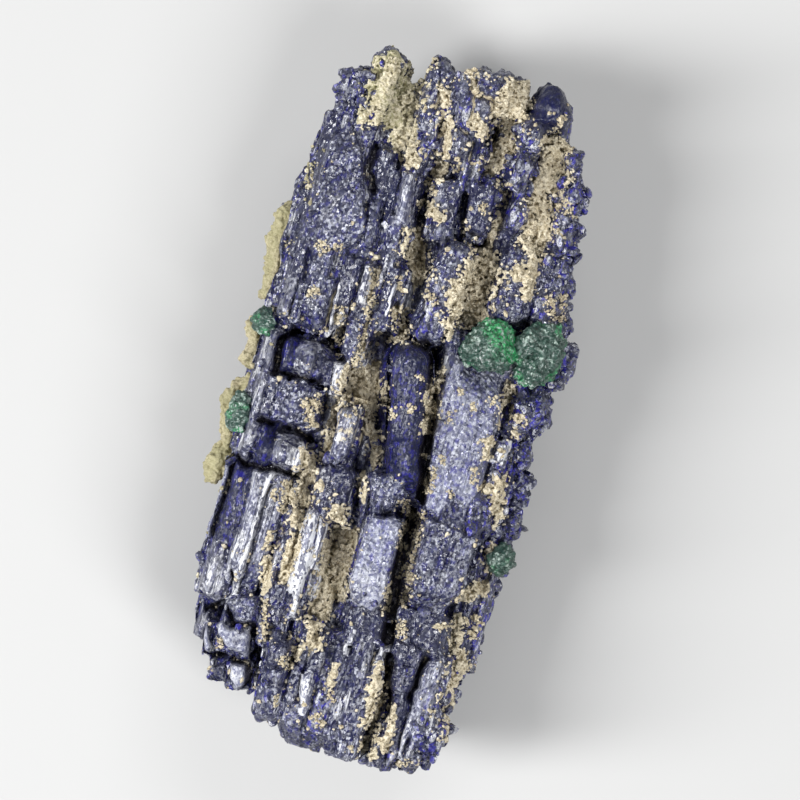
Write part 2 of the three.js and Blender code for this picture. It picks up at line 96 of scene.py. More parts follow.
def lattice(cells, seed):
    """Repeatable numbers from 0 to 1 at whole-number lattice points."""
    key = cells.astype(np.int64).astype(np.uint64)
    mixed = key[:, 0] * np.uint64(0x9E3779B185EBCA87)
    mixed ^= key[:, 1] * np.uint64(0xC2B2AE3D27D4EB4F)
    mixed ^= key[:, 2] * np.uint64(0x165667B19E3779F9)
    mixed ^= np.uint64((seed + 1) * 0x27D4EB2F165667C5 % 2**64)
    mixed ^= mixed >> np.uint64(33)
    mixed *= np.uint64(0xFF51AFD7ED558CCD)
    mixed ^= mixed >> np.uint64(33)
    mixed *= np.uint64(0xC4CEB9FE1A85EC53)
    mixed ^= mixed >> np.uint64(33)
    return (mixed >> np.uint64(40)).astype(np.float64) / 2**24


def noise(points, seed):
    """Smooth noise from -1 to 1 with a period of one unit."""
    base = np.floor(points)
    part = points - base
    ease = part * part * (3 - 2 * part)
    total = np.zeros(len(points))
    for corner in itertools.product((0, 1), repeat=3):
        weight = np.prod(np.where(corner, ease, 1 - ease), axis=1)
        total += weight * lattice(base + corner, seed)
    return 2 * total - 1


def layered(points, seed, layers=3, fade=0.5):
    """Noise with finer and finer layers, from about -1 to 1."""
    total = np.zeros(len(points))
    for i in range(layers):
        total += fade**i * noise(points * 2**i + 17.3 * i, seed + i)
    return total / sum(fade**i for i in range(layers))


def cellular(points, seed):
    """Distances to the nearest two of scattered points, and the nearest one's number from 0 to 1."""
    base = np.floor(points)
    first = np.full(len(points), 9.0)
    second = np.full(len(points), 9.0)
    owner = np.zeros(len(points))
    for step in itertools.product((-1, 0, 1), repeat=3):
        cell = base + step
        centre = cell + np.stack([lattice(cell, seed + k) for k in range(3)], axis=1)
        distance = np.linalg.norm(centre - points, axis=1)
        nearer = distance < first
        second = np.where(nearer, first, np.minimum(second, distance))
        owner = np.where(nearer, lattice(cell, seed + 3), owner)
        first = np.where(nearer, distance, first)
    return first, second, owner


def smooth(value, start, end):
    """0 at start, 1 at end, eased between."""
    share = np.clip((value - start) / (end - start), 0, 1)
    return share * share * (3 - 2 * share)


# ---------------------------------------------------------------- mesh helpers


def positions(mesh):
    flat = np.empty(3 * len(mesh.vertices))
    mesh.vertices.foreach_get("co", flat)
    return flat.reshape(-1, 3)


def place(mesh, points):
    mesh.vertices.foreach_set("co", points.ravel())
    mesh.update()


def normals(mesh):
    flat = np.empty(3 * len(mesh.vertices))
    mesh.vertex_normals.foreach_get("vector", flat)
    return flat.reshape(-1, 3)


def edges(mesh):
    flat = np.empty(2 * len(mesh.edges), dtype=np.int32)
    mesh.edges.foreach_get("vertices", flat)
    return flat.reshape(-1, 2)


def evaluated(obj):
    """The mesh of obj with its modifiers applied; obj itself goes."""
    graph = bpy.context.evaluated_depsgraph_get()
    mesh = bpy.data.meshes.new_from_object(obj.evaluated_get(graph))
    old = obj.data
    bpy.data.objects.remove(obj)
    bpy.data.meshes.remove(old)
    return mesh


def scratch(mesh):
    obj = bpy.data.objects.new("scratch", mesh)
    bpy.context.scene.collection.objects.link(obj)
    return obj


def merged(mesh, voxel):
    """The mesh remade with even faces, and what overlaps in it run together."""
    obj = scratch(mesh)
    modifier = obj.modifiers.new("even", "REMESH")
    modifier.mode = "VOXEL"
    modifier.voxel_size = voxel
    return evaluated(obj)


def remeshed(node, voxel):
    """An even mesh over a CAD node's surface, in millimetres."""
    mesh = NODES[node].data.copy()
    mesh.transform(Matrix.Scale(1 / MM, 4))
    return merged(mesh, voxel)


def triangles(mesh):
    mesh.calc_loop_triangles()
    return len(mesh.loop_triangles)


def thinned(mesh, faces):
    """The mesh cut down to about that many triangles, if it has more."""
    count = triangles(mesh)
    if count <= faces:
        return mesh
    obj = scratch(mesh)
    modifier = obj.modifiers.new("thin", "DECIMATE")
    modifier.ratio = faces / count
    return evaluated(obj)


def spread(values, links, rounds):
    """Averages each vertex's values with its neighbours', many times."""
    count = len(values)
    degree = np.bincount(links.ravel(), minlength=count)[:, None]
    for _ in range(rounds):
        total = np.zeros_like(values)
        for k in range(values.shape[1]):
            total[:, k] += np.bincount(links[:, 0], values[links[:, 1], k], count)
            total[:, k] += np.bincount(links[:, 1], values[links[:, 0], k], count)
        values = 0.5 * values + 0.5 * total / np.maximum(degree, 1)
    return values


def store(mesh, name, values):
    layer = mesh.attributes.new(name, "FLOAT", "POINT")
    layer.data.foreach_set("value", values.astype(np.float32))


def finished(mesh, name, material, stands_for=(), shiny=None):
    """Makes the piece's object, in metres, riding on the specimen. shiny marks the faces shaded smooth."""
    mesh.name = name
    flags = np.zeros(len(mesh.polygons), dtype=bool) if shiny is None else shiny
    mesh.polygons.foreach_set("use_smooth", flags)
    mesh.transform(Matrix.Scale(MM, 4))
    mesh.materials.clear()
    mesh.materials.append(material)
    obj = bpy.data.objects.new(name, mesh)
    bpy.context.scene.collection.objects.link(obj)
    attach(obj, "root")
    if stands_for:
        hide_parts(*stands_for)


# ---------------------------------------------------------------- the display face

# Crystals that show: start x and y, end x and y, width, rise, and kind, from KINDS. Millimetres.
LATHS = [
    # crown
    (-7.0, 23.0, -6.9, 24.4, 1.7, 0.7, "n"),
    (-8.6, 20.4, -8.3, 22.4, 1.5, 0.6, "n"),
    (-8.9, 19.0, -8.6, 20.8, 1.8, 0.5, "f"),
    (-6.2, 18.6, -5.6, 22.6, 2.6, 0.1, "n"),
    (-3.6, 23.4, -3.2, 19.2, 1.1, 0.5, "n"),
    (-2.7, 24.3, -2.4, 22.6, 1.1, 0.5, "n"),
    (-1.6, 24.6, -1.3, 22.2, 1.4, 0.8, "f"),
    (-0.5, 25.0, -0.4, 23.8, 1.0, 0.9, "f"),
    (0.8, 25.0, 0.9, 22.8, 2.6, 1.0, "f"),
    (2.6, 24.8, 2.6, 23.6, 1.3, 0.4, "d"),
    (6.4, 22.9, 6.3, 21.2, 0.8, 0.6, "b"),
    (-2.6, 20.4, -2.5, 18.4, 0.9, 0.5, "b"),
    (-0.8, 22.6, -0.6, 20.4, 1.2, 0.6, "b"),
    (0.5, 22.0, 0.5, 20.2, 1.2, 0.5, "n"),
    (4.3, 22.2, 4.2, 19.7, 1.9, 0.7, "b"),
    (3.4, 21.6, 3.2, 20.2, 0.9, 0.4, "s"),
    (4.4, 19.2, 4.0, 17.0, 1.8, 0.7, "g"),
    (3.1, 19.1, 3.2, 17.8, 1.1, 0.8, "d"),
    (-0.4, 19.6, -0.3, 17.3, 1.5, 0.6, "n"),
    (0.8, 19.8, 1.0, 18.0, 0.7, 0.4, "d"),
    (1.3, 18.2, 1.3, 16.2, 0.6, 0.4, "b"),
    (0.3, 17.4, 0.3, 16.0, 0.7, 0.4, "b"),
    (2.3, 18.0, 2.5, 16.2, 0.9, 0.4, "s"),
    # upper left frosted face and its steps
    (-9.6, 18.6, -9.7, 10.0, 0.9, 0.0, "s"),
    (-5.2, 17.0, -5.0, 14.4, 1.3, 0.25, "s"),
    (-4.2, 16.6, -4.0, 12.6, 0.8, 0.3, "s"),
    (-4.9, 13.4, -4.6, 10.6, 0.9, 0.5, "f"),
    (-3.2, 15.9, -2.9, 12.6, 1.0, 0.7, "k"),
    (-2.4, 16.0, -2.2, 13.4, 0.6, 0.3, "s"),
    (-3.3, 12.9, -3.0, 9.6, 1.2, 0.5, "f"),
    (-2.2, 12.6, -2.2, 10.4, 0.8, 0.3, "n"),
    # upper middle
    (-0.5, 16.3, 0.5, 12.8, 1.9, 0.45, "n"),
    (-0.7, 17.2, -0.8, 15.4, 0.8, 0.4, "n"),
    (2.0, 16.4, 2.3, 13.0, 1.9, 0.3, "s"),
    (0.0, 13.2, 0.1, 10.8, 1.0, 0.3, "n"),
    (-0.2, 10.9, 0.1, 8.2, 1.0, 0.3, "s"),
    (4.9, 16.9, 4.8, 14.4, 1.8, 0.6, "b"),
    (5.7, 15.2, 5.6, 13.2, 1.4, 0.55, "f"),
    (4.4, 14.4, 4.4, 11.6, 1.2, 0.3, "s"),
    (6.1, 13.2, 6.2, 8.0, 2.6, 0.65, "f"),
    (4.4, 11.8, 4.6, 9.3, 0.9, 0.3, "s"),
    (7.4, 20.3, 7.9, 18.6, 1.2, 0.5, "b"),
    (8.0, 17.7, 8.2, 15.6, 1.8, 0.8, "b"),
    (8.2, 15.4, 8.6, 13.2, 1.4, 0.5, "b"),
    (7.9, 13.0, 8.2, 10.4, 2.1, 0.55, "f"),
    (9.2, 12.8, 9.6, 10.2, 0.9, 0.3, "b"),
    (8.2, 10.4, 8.4, 8.6, 1.7, 0.4, "b"),
    # between the frosted face and the lens
    (-9.2, 9.8, -9.1, 7.0, 1.3, 0.5, "s"),
    (-9.3, 6.6, -9.2, 4.1, 1.0, 0.6, "g"),
    (-8.3, 6.6, -8.2, 3.4, 0.9, 0.55, "f"),
    (-7.6, 9.2, -7.5, 5.0, 1.4, 0.55, "f"),
    (-6.7, 7.4, -6.6, 3.9, 0.9, 0.6, "n"),
    (-5.85, 7.2, -5.85, 3.6, 0.3, 0.85, "w"),
    (-5.4, 9.2, -5.3, 5.6, 1.2, 0.6, "s"),
    (-5.3, 5.4, -5.3, 3.8, 0.6, 0.5, "w"),
    (-4.25, 9.0, -4.2, 6.4, 0.8, 0.85, "w"),
    (-3.15, 9.9, -3.15, 7.9, 0.3, 0.8, "w"),
    (-4.1, 6.4, -3.9, 2.4, 1.3, 0.5, "f"),
    (-2.6, 9.4, -2.4, 6.0, 1.1, 0.5, "s"),
    (-2.15, 8.4, -2.15, 6.0, 0.35, 0.7, "w"),
    (-2.5, 5.8, -2.2, 3.2, 1.4, 0.5, "f"),
    (-1.1, 9.2, -1.1, 6.7, 0.8, 0.7, "w"),
    (-0.2, 8.0, -0.3, 5.2, 0.7, 0.35, "s"),
    (0.6, 8.0, 0.5, 5.2, 0.9, 0.5, "b"),
    (1.6, 8.2, 1.5, 5.2, 1.2, 0.6, "f"),
    (2.7, 6.9, 2.9, 4.6, 1.2, 0.5, "f"),
    (3.1, 4.8, 3.0, 3.4, 1.3, 0.5, "g"),
    (-2.9, 3.0, -2.8, 1.7, 1.1, 0.6, "w"),
    (-4.1, 3.4, -4.0, 2.1, 0.8, 0.5, "g"),
    # lenses on the left
    (-9.5, 2.9, -9.3, -3.0, 0.9, 0.7, "g"),
    (-7.9, 2.8, -7.9, 0.6, 1.2, 0.85, "d"),
    (-6.9, 2.7, -6.9, 0.5, 1.5, 0.95, "g"),
    (-4.3, 1.7, -4.2, 0.1, 1.1, 0.8, "w"),
    (-5.3, 1.9, -5.2, 0.4, 1.0, 0.5, "s"),
    (-8.6, 0.1, -8.6, -2.9, 0.9, 0.35, "s"),
    (-7.0, -0.1, -6.9, -2.9, 2.6, 0.6, "f"),
    (-5.3, -0.2, -5.2, -3.0, 1.0, 0.4, "n"),
    (-4.3, -0.2, -4.3, -2.4, 0.7, 0.5, "w"),
    (-1.3, -1.4, -1.2, -4.4, 0.8, 0.35, "s"),
    (-9.3, -3.2, -9.3, -6.1, 1.1, 0.5, "g"),
    (-7.9, -3.5, -7.8, -6.0, 1.3, 0.85, "d"),
    (-6.6, -3.6, -6.4, -6.0, 1.6, 0.95, "g"),
    (-5.6, -4.4, -5.5, -6.0, 0.7, 0.8, "w"),
    # finger
    (0.05, 3.0, 1.0, -1.4, 3.6, 1.9, "t"),
    (1.0, -1.0, 2.2, -5.4, 2.7, 1.55, "d"),
    # right frosted faces
    (7.8, -4.4, 7.8, -6.9, 1.9, 0.8, "b"),
    (6.0, -5.0, 6.0, -7.0, 1.8, 0.55, "f"),
    (5.65, -7.4, 5.7, -11.2, 0.3, 1.05, "w"),
    (6.6, -11.4, 6.4, -13.2, 2.2, 0.5, "n"),
    (9.3, 3.9, 9.4, 0.2, 2.7, 0.9, "b"),
    (10.7, 7.7, 10.8, 4.0, 1.7, 0.9, "b"),
    (8.0, 4.8, 8.2, 2.9, 1.2, 0.5, "b"),
    (8.2, -0.3, 8.1, -1.9, 1.2, 0.9, "w"),
    (9.6, -0.2, 9.6, -1.4, 1.2, 0.6, "d"),
    (9.6, -1.6, 9.6, -2.8, 1.0, 0.7, "d"),
    (10.3, -2.6, 10.2, -6.2, 1.2, 0.7, "f"),
    (8.2, -2.2, 8.2, -4.2, 1.1, 0.4, "f"),
    (10.3, -6.6, 10.3, -10.6, 1.1, 0.5, "f"),
    (10.2, -10.8, 10.4, -15.4, 1.1, 0.5, "b"),
    (9.3, -6.8, 9.2, -9.4, 0.9, 0.3, "n"),
    (8.6, -11.2, 8.4, -13.2, 1.2, 0.4, "n"),
    # long glossy face and the columns beside it
    (-10.3, -6.3, -10.2, -12.0, 0.7, 0.4, "p"),
    (-8.8, -6.5, -8.9, -12.4, 1.6, 0.8, "d"),
    (-7.6, -6.5, -7.7, -13.6, 1.3, 1.0, "k"),
    (-7.05, -6.7, -7.2, -14.4, 0.42, 1.2, "w"),
    (-6.2, -6.5, -6.3, -13.4, 1.3, 0.85, "k"),
    (-7.9, -11.2, -8.0, -14.4, 0.4, 1.15, "w"),
    (-9.2, -12.2, -9.3, -16.0, 1.2, 0.5, "g"),
    (-8.2, -13.8, -8.3, -16.6, 1.0, 0.4, "g"),
    (-7.3, -14.0, -7.2, -15.4, 0.6, 0.7, "w"),
    (-6.4, -13.6, -6.3, -15.6, 1.2, 0.5, "f"),
    (-6.4, -15.6, -6.2, -17.2, 1.3, 0.4, "f"),
    (-5.0, -6.6, -4.9, -9.4, 0.9, 0.4, "n"),
    (-4.6, -9.6, -4.6, -13.0, 0.9, 0.4, "n"),
    (-3.4, -8.7, -3.4, -11.4, 1.1, 0.8, "w"),
    (-2.4, -9.2, -2.2, -12.0, 0.8, 0.7, "w"),
    (-3.2, -11.2, -3.2, -14.0, 1.3, 0.85, "w"),
    (-1.9, -12.0, -1.7, -14.2, 0.6, 0.6, "w"),
    (-5.1, -12.0, -5.0, -14.6, 0.6, 0.5, "g"),
    (-2.9, -13.9, -2.9, -15.8, 0.7, 0.8, "w"),
    (-4.2, -14.2, -4.2, -16.6, 1.0, 0.4, "n"),
    (0.9, -4.9, 1.6, -6.9, 2.5, 0.9, "f"),
    (-0.4, -5.3, -0.3, -8.8, 0.9, 0.35, "n"),
    (0.2, -9.4, 0.2, -12.6, 0.5, 0.6, "b"),
    (2.8, -10.8, 2.9, -11.8, 0.8, 1.0, "b"),
    # slate band
    (1.8, -14.0, 2.4, -16.0, 3.0, 0.45, "s"),
    (6.3, -13.2, 6.4, -16.2, 3.8, 0.35, "s"),
    (8.6, -14.0, 8.8, -16.4, 1.2, 0.4, "n"),
    # foot
    (-8.9, -16.9, -8.9, -19.4, 0.8, 0.5, "g"),
    (-4.7, -15.8, -4.6, -18.0, 0.9, 0.4, "f"),
    (-1.5, -16.0, -1.5, -19.0, 0.9, 0.35, "n"),
    (-0.4, -16.6, -0.4, -19.2, 1.0, 0.4, "s"),
    (-3.1, -19.9, -2.8, -23.8, 1.7, 0.7, "l"),
    (-4.2, -20.2, -4.0, -22.8, 0.7, 0.4, "b"),
    (-1.6, -19.4, -1.6, -22.0, 0.9, 0.5, "n"),
    (-0.7, -19.7, -0.4, -22.4, 0.9, 0.85, "w"),
    (-1.2, -21.8, -1.0, -24.7, 2.0, 0.6, "f"),
    (1.4, -16.0, 1.4, -17.4, 0.6, 0.7, "w"),
    (1.3, -17.0, 1.4, -20.6, 1.4, 0.5, "l"),
    (0.8, -20.6, 0.8, -23.2, 1.3, 0.5, "b"),
    (1.8, -20.4, 1.9, -24.6, 1.0, 0.55, "l"),
    (2.9, -16.2, 3.0, -18.6, 0.8, 0.9, "g"),
    (3.9, -16.4, 3.8, -17.8, 0.7, 0.8, "w"),
    (3.2, -18.0, 3.4, -24.6, 2.1, 0.8, "l"),
    (5.5, -15.9, 5.5, -18.8, 2.5, 0.85, "s"),
    (5.9, -18.9, 6.1, -22.6, 1.3, 0.5, "s"),
    (5.2, -22.4, 5.2, -24.6, 1.6, 0.5, "n"),
    (7.6, -16.4, 7.6, -21.6, 1.5, 0.85, "k"),
    (8.6, -17.4, 8.6, -21.0, 1.0, 0.7, "l"),
    (7.0, -20.9, 7.0, -23.3, 0.35, 0.95, "w"),
    (7.6, -21.4, 7.6, -23.2, 0.7, 0.8, "g"),
    (8.9, -20.6, 8.8, -22.4, 1.6, 0.7, "b"),
    (6.5, -23.0, 6.5, -24.4, 0.8, 0.6, "b"),
    (7.7, -23.1, 7.7, -24.4, 1.5, 0.4, "n"),
]
# Flat-topped crystals: rise, kind, how much the top leans along x and y, then its corners.
PLATES = [
    (0.42, "f", 0.02, 0.0,
     (-9.4, 16.6), (-8.4, 18.5), (-7.0, 17.9), (-6.3, 15.6),
     (-4.6, 12.2), (-5.6, 10.2), (-8.2, 9.0), (-9.6, 9.8)),
    (1.2, "d", 0.12, -0.1,
     (3.6, 23.4), (4.3, 24.7), (5.4, 25.1), (6.3, 24.4), (6.7, 23.0), (6.2, 21.8), (4.2, 21.9)),
    (0.85, "f", -0.04, 0.02,
     (-0.5, 9.6), (0.2, 11.6), (1.4, 12.5), (2.5, 12.0), (2.7, 9.8), (2.3, 8.2), (0.3, 8.0)),
    (0.95, "k", 0.05, -0.05,
     (-3.5, -0.9), (-2.6, -0.5), (-2.0, -1.2), (-2.0, -4.4), (-2.6, -5.0), (-3.5, -4.5)),
    (0.38, "p", -0.02, 0.01,
     (3.0, 4.2), (5.2, 5.2), (7.4, 4.8), (7.5, -4.2), (5.6, -6.6), (3.9, -6.2), (3.3, -3.0)),
    (0.9, "f", 0.03, 0.02,
     (4.3, -6.9), (8.9, -6.9), (8.9, -10.6), (7.5, -12.1), (4.7, -12.9), (4.2, -9.4)),
    (0.7, "s", 0.03, 0.03,
     (-4.0, -5.1), (-1.2, -5.1), (-1.2, -7.4), (-2.0, -8.8), (-3.1, -8.7), (-4.0, -7.6)),
    (0.85, "p", 0.0, 0.02,
     (0.6, -7.5), (2.9, -7.4), (3.0, -11.8), (0.1, -11.8), (0.3, -9.4)),
    (0.88, "q", -0.01, 0.0,
     (0.1, -11.2), (3.0, -11.2), (3.0, -13.0), (2.3, -14.1), (0.9, -13.6), (0.2, -12.4)),
    (1.2, "h", -0.1, 0.08,
     (-8.0, -18.1), (-7.3, -17.7), (-6.3, -17.6), (-5.4, -18.1), (-5.1, -19.5), (-6.6, -19.2)),
    (1.0, "h", 0.14, 0.06,
     (-8.6, -18.4), (-8.1, -18.2), (-7.9, -19.3), (-7.3, -20.2), (-8.2, -20.1), (-8.5, -19.4)),
    (1.1, "h", -0.12, 0.1,
     (-6.2, -20.1), (-5.3, -20.0), (-4.6, -20.6), (-4.7, -21.4), (-5.4, -22.0), (-6.0, -21.3)),
    (0.6, "s", -0.1, 0.1,
     (-7.6, -20.9), (-6.6, -20.5), (-6.1, -21.5), (-6.4, -21.9), (-7.2, -21.6)),
    (0.8, "s", 0.04, 0.05,
     (-4.1, -17.3), (-2.5, -17.3), (-2.4, -19.4), (-3.8, -19.6)),
]
# Deep gaps: width, depth, then the points they pass through.
GAPS = [
    (0.7, 1.2, (0.2, 4.9), (1.4, 4.7), (1.9, 3.6), (2.2, 1.8)),
    (0.8, 1.7, (2.4, 1.8), (2.9, -1.2), (3.4, -4.4), (3.6, -6.0)),
    (0.8, 1.4, (3.5, -6.0), (3.2, -8.0), (3.4, -11.0), (3.8, -14.0), (4.0, -15.8)),
    (0.6, 1.2, (-8.7, 0.0), (-8.7, 2.6), (-8.0, 3.4), (-6.6, 3.5), (-5.4, 3.1), (-4.4, 2.1)),
    (0.4, 0.9, (-8.6, 0.2), (-7.0, 0.15), (-5.4, 0.5)),
    (0.5, 1.1, (-8.9, -3.2), (-7.2, -3.1), (-5.6, -3.4), (-4.6, -4.3)),
    (0.5, 1.1, (-10.0, -6.4), (-8.2, -6.3), (-5.2, -6.2)),
    (0.4, 0.8, (-9.8, -6.6), (-9.8, -12.0)),
    (0.5, 1.0, (-8.8, -16.9), (-7.4, -16.6), (-6.6, -17.4), (-5.4, -17.4), (-4.9, -19.6)),
    (0.5, 1.0, (-8.2, -20.4), (-6.8, -20.0), (-5.0, -19.9), (-4.5, -22.0)),
    (0.6, 1.3, (4.4, -17.8), (4.9, -19.4), (5.1, -21.2)),
    (0.5, 0.9, (6.9, -16.2), (6.8, -18.2), (6.5, -19.4)),
    (0.8, 1.1, (1.6, 21.4), (1.6, 19.4)),
    (0.7, 1.2, (1.8, 13.0), (3.2, 12.7)),
    (0.6, 0.9, (-6.0, 17.4), (-6.2, 15.6), (-5.4, 14.2)),
    (0.6, 1.0, (-1.8, 20.0), (-1.5, 17.8)),
    (0.7, 1.0, (-1.6, 14.8), (-1.6, 12.2), (-0.6, 9.6)),
    (0.6, 0.9, (-1.6, 6.6), (-1.0, 5.2)),
    (0.5, 0.7, (-1.5, -9.0), (-1.2, -12.0)),
    (0.5, 0.8, (-0.9, -12.8), (-0.3, -14.2)),
    (0.5, 0.8, (-1.4, -15.6), (-0.9, -17.2)),
    (0.4, 0.7, (1.2, -7.1), (2.6, -7.2)),
    (0.4, 0.8, (7.9, 3.4), (7.8, 0.8), (8.6, 0.2)),
]
# Crust lying in the seams: x and y of two ends, width and thickness; grouped by the mass they belong to.
MASSES = {
    "crust_crown": [
        (-7.3, 19.2, -5.6, 19.9, 0.9, 0.5),
        (-5.3, 22.6, -5.0, 19.6, 1.5, 0.5),
        (-4.9, 23.9, -4.0, 24.1, 0.9, 0.5),
        (-7.6, 23.0, -7.2, 20.6, 0.7, 0.3),
        (-6.3, 23.4, -6.4, 21.4, 0.9, 0.3),
        (-4.6, 18.4, -3.2, 17.0, 0.9, 0.4),
        (-4.2, 19.6, -3.6, 17.8, 0.5, 0.3),
        (-6.6, 21.4, -6.0, 20.0, 1.0, 0.2),
    ],
    "crust_crown_right": [
        (1.9, 23.2, 3.1, 22.6, 1.0, 0.7),
        (2.5, 23.9, 2.6, 22.0, 0.9, 0.5),
        (3.2, 24.8, 3.3, 23.4, 0.5, 0.3),
        (-1.2, 24.0, -0.1, 22.6, 0.35, 0.2),
        (1.3, 22.4, 2.0, 21.4, 0.5, 0.3),
        (0.2, 20.6, 1.0, 20.2, 0.7, 0.4),
    ],
    "crust_upper_seam": [
        (-2.5, 22.4, -1.6, 18.2, 0.45, 0.3),
        (-1.6, 20.4, -1.3, 18.6, 0.5, 0.3),
        (-1.4, 17.8, -1.2, 16.4, 0.6, 0.4),
        (-1.7, 14.4, -0.4, 13.6, 0.6, 0.4),
        (-1.9, 12.0, -0.7, 9.6, 0.9, 0.6),
        (-2.0, 11.0, -1.6, 10.4, 0.7, 0.4),
        (-1.2, 6.4, -0.8, 4.8, 0.8, 0.5),
    ],
    "crust_upper_right": [
        (5.6, 20.9, 6.8, 20.6, 0.9, 0.6),
        (5.8, 20.0, 6.1, 18.4, 0.9, 0.7),
        (6.1, 19.0, 7.3, 18.6, 1.0, 0.8),
        (5.9, 18.4, 5.7, 16.4, 0.8, 0.6),
        (6.2, 17.8, 6.4, 14.6, 1.05, 0.8),
        (6.5, 15.2, 6.8, 13.4, 0.9, 0.7),
        (5.6, 13.6, 6.6, 13.2, 0.6, 0.4),
        (2.6, 19.6, 2.4, 18.4, 1.0, 0.4),
        (2.5, 21.4, 2.7, 19.8, 0.7, 0.4),
        (6.6, 12.6, 6.8, 10.0, 0.6, 0.4),
        (5.8, 12.0, 6.2, 11.0, 0.35, 0.3),
    ],
    "crust_centre_right": [
        (3.3, 11.8, 3.4, 10.4, 1.0, 1.0),
        (3.6, 10.8, 3.4, 8.6, 1.6, 1.3),
        (2.6, 9.0, 2.9, 7.4, 1.4, 1.1),
        (3.9, 8.4, 4.1, 7.6, 0.7, 0.8),
        (3.5, 14.6, 3.4, 12.4, 0.4, 0.3),
        (2.2, 6.6, 2.3, 5.6, 0.4, 0.3),
    ],
    "crust_finger_left": [
        (-3.4, 1.4, -2.4, 0.4, 1.1, 0.5),
        (-2.1, 1.8, -1.7, 0.0, 0.9, 0.5),
        (-1.8, 0.2, -1.2, -1.8, 0.6, 0.4),
        (-3.9, 0.6, -3.6, -0.6, 0.6, 0.3),
        (-3.9, -1.2, -3.8, -4.4, 0.45, 0.35),
        (-0.6, -2.2, -0.1, -4.0, 0.6, 0.4),
        (-0.7, -5.4, -0.5, -6.4, 0.5, 0.3),
    ],
    "crust_finger_right": [
        (2.5, 3.4, 2.5, 2.0, 0.4, 0.5),
        (2.3, 1.6, 2.7, 0.2, 0.6, 0.5),
        (2.5, 0.2, 2.7, -1.0, 0.4, 0.4),
    ],
    "crust_left_seam": [
        (-5.0, -4.6, -4.5, -5.6, 0.6, 0.4),
        (-4.8, -6.0, -4.3, -8.0, 0.7, 0.4),
        (-4.2, -6.4, -3.5, -6.6, 0.4, 0.3),
        (-5.4, -7.8, -5.2, -8.2, 0.6, 0.3),
        (-4.1, -8.0, -4.3, -9.6, 0.6, 0.4),
        (-4.2, -10.6, -4.1, -13.6, 0.6, 0.35),
        (-5.6, -12.6, -5.3, -14.4, 0.6, 0.3),
    ],
    "crust_lower_seam": [
        (-1.8, -8.0, -1.0, -9.6, 0.8, 0.5),
        (-1.0, -9.6, -0.6, -10.8, 1.0, 0.6),
        (-1.1, -11.4, -1.0, -12.8, 1.0, 0.6),
        (-1.0, -13.8, -1.2, -15.6, 1.1, 0.5),
        (-2.0, -10.4, -1.6, -12.4, 0.4, 0.3),
        (-0.2, -11.8, 0.1, -13.6, 0.5, 0.4),
        (-1.2, -16.4, -0.6, -17.4, 0.6, 0.4),
        (-1.9, -18.6, -1.5, -17.4, 0.4, 0.3),
    ],
    "crust_right_seam": [
        (7.5, 3.4, 7.8, 1.2, 0.6, 0.5),
        (8.6, 1.4, 8.9, 0.6, 0.7, 0.4),
        (7.1, -0.6, 7.2, -1.6, 0.5, 0.3),
        (8.6, -2.9, 8.9, -4.0, 0.7, 0.5),
        (8.8, -4.2, 9.2, -6.0, 0.5, 0.5),
        (9.2, -7.6, 9.5, -9.0, 0.6, 0.3),
        (7.5, -3.9, 8.3, -3.8, 0.3, 0.2),
    ],
    "crust_foot_seam": [
        (3.9, -17.6, 4.1, -19.2, 0.6, 0.5),
        (4.2, -19.2, 4.5, -21.6, 0.8, 0.6),
        (4.6, -22.0, 4.8, -22.6, 0.6, 0.4),
        (4.5, -23.4, 4.9, -23.8, 0.8, 0.4),
        (5.5, -20.2, 5.7, -21.0, 0.4, 0.3),
        (5.9, -21.6, 5.8, -23.2, 0.5, 0.35),
        (1.0, -18.4, 1.0, -20.0, 0.35, 0.3),
    ],
    "crust_foot_right": [
        (8.4, -13.2, 8.7, -15.4, 0.6, 0.4),
        (9.2, -15.6, 9.9, -16.8, 0.7, 0.4),
        (9.6, -16.8, 9.7, -19.4, 1.3, 0.6),
        (9.9, -18.6, 9.8, -21.2, 0.7, 0.5),
        (9.1, -17.0, 9.2, -18.4, 0.6, 0.4),
        (8.8, -10.8, 9.6, -10.9, 0.6, 0.3),
        (8.2, -11.6, 9.0, -11.2, 0.4, 0.3),
    ],
}
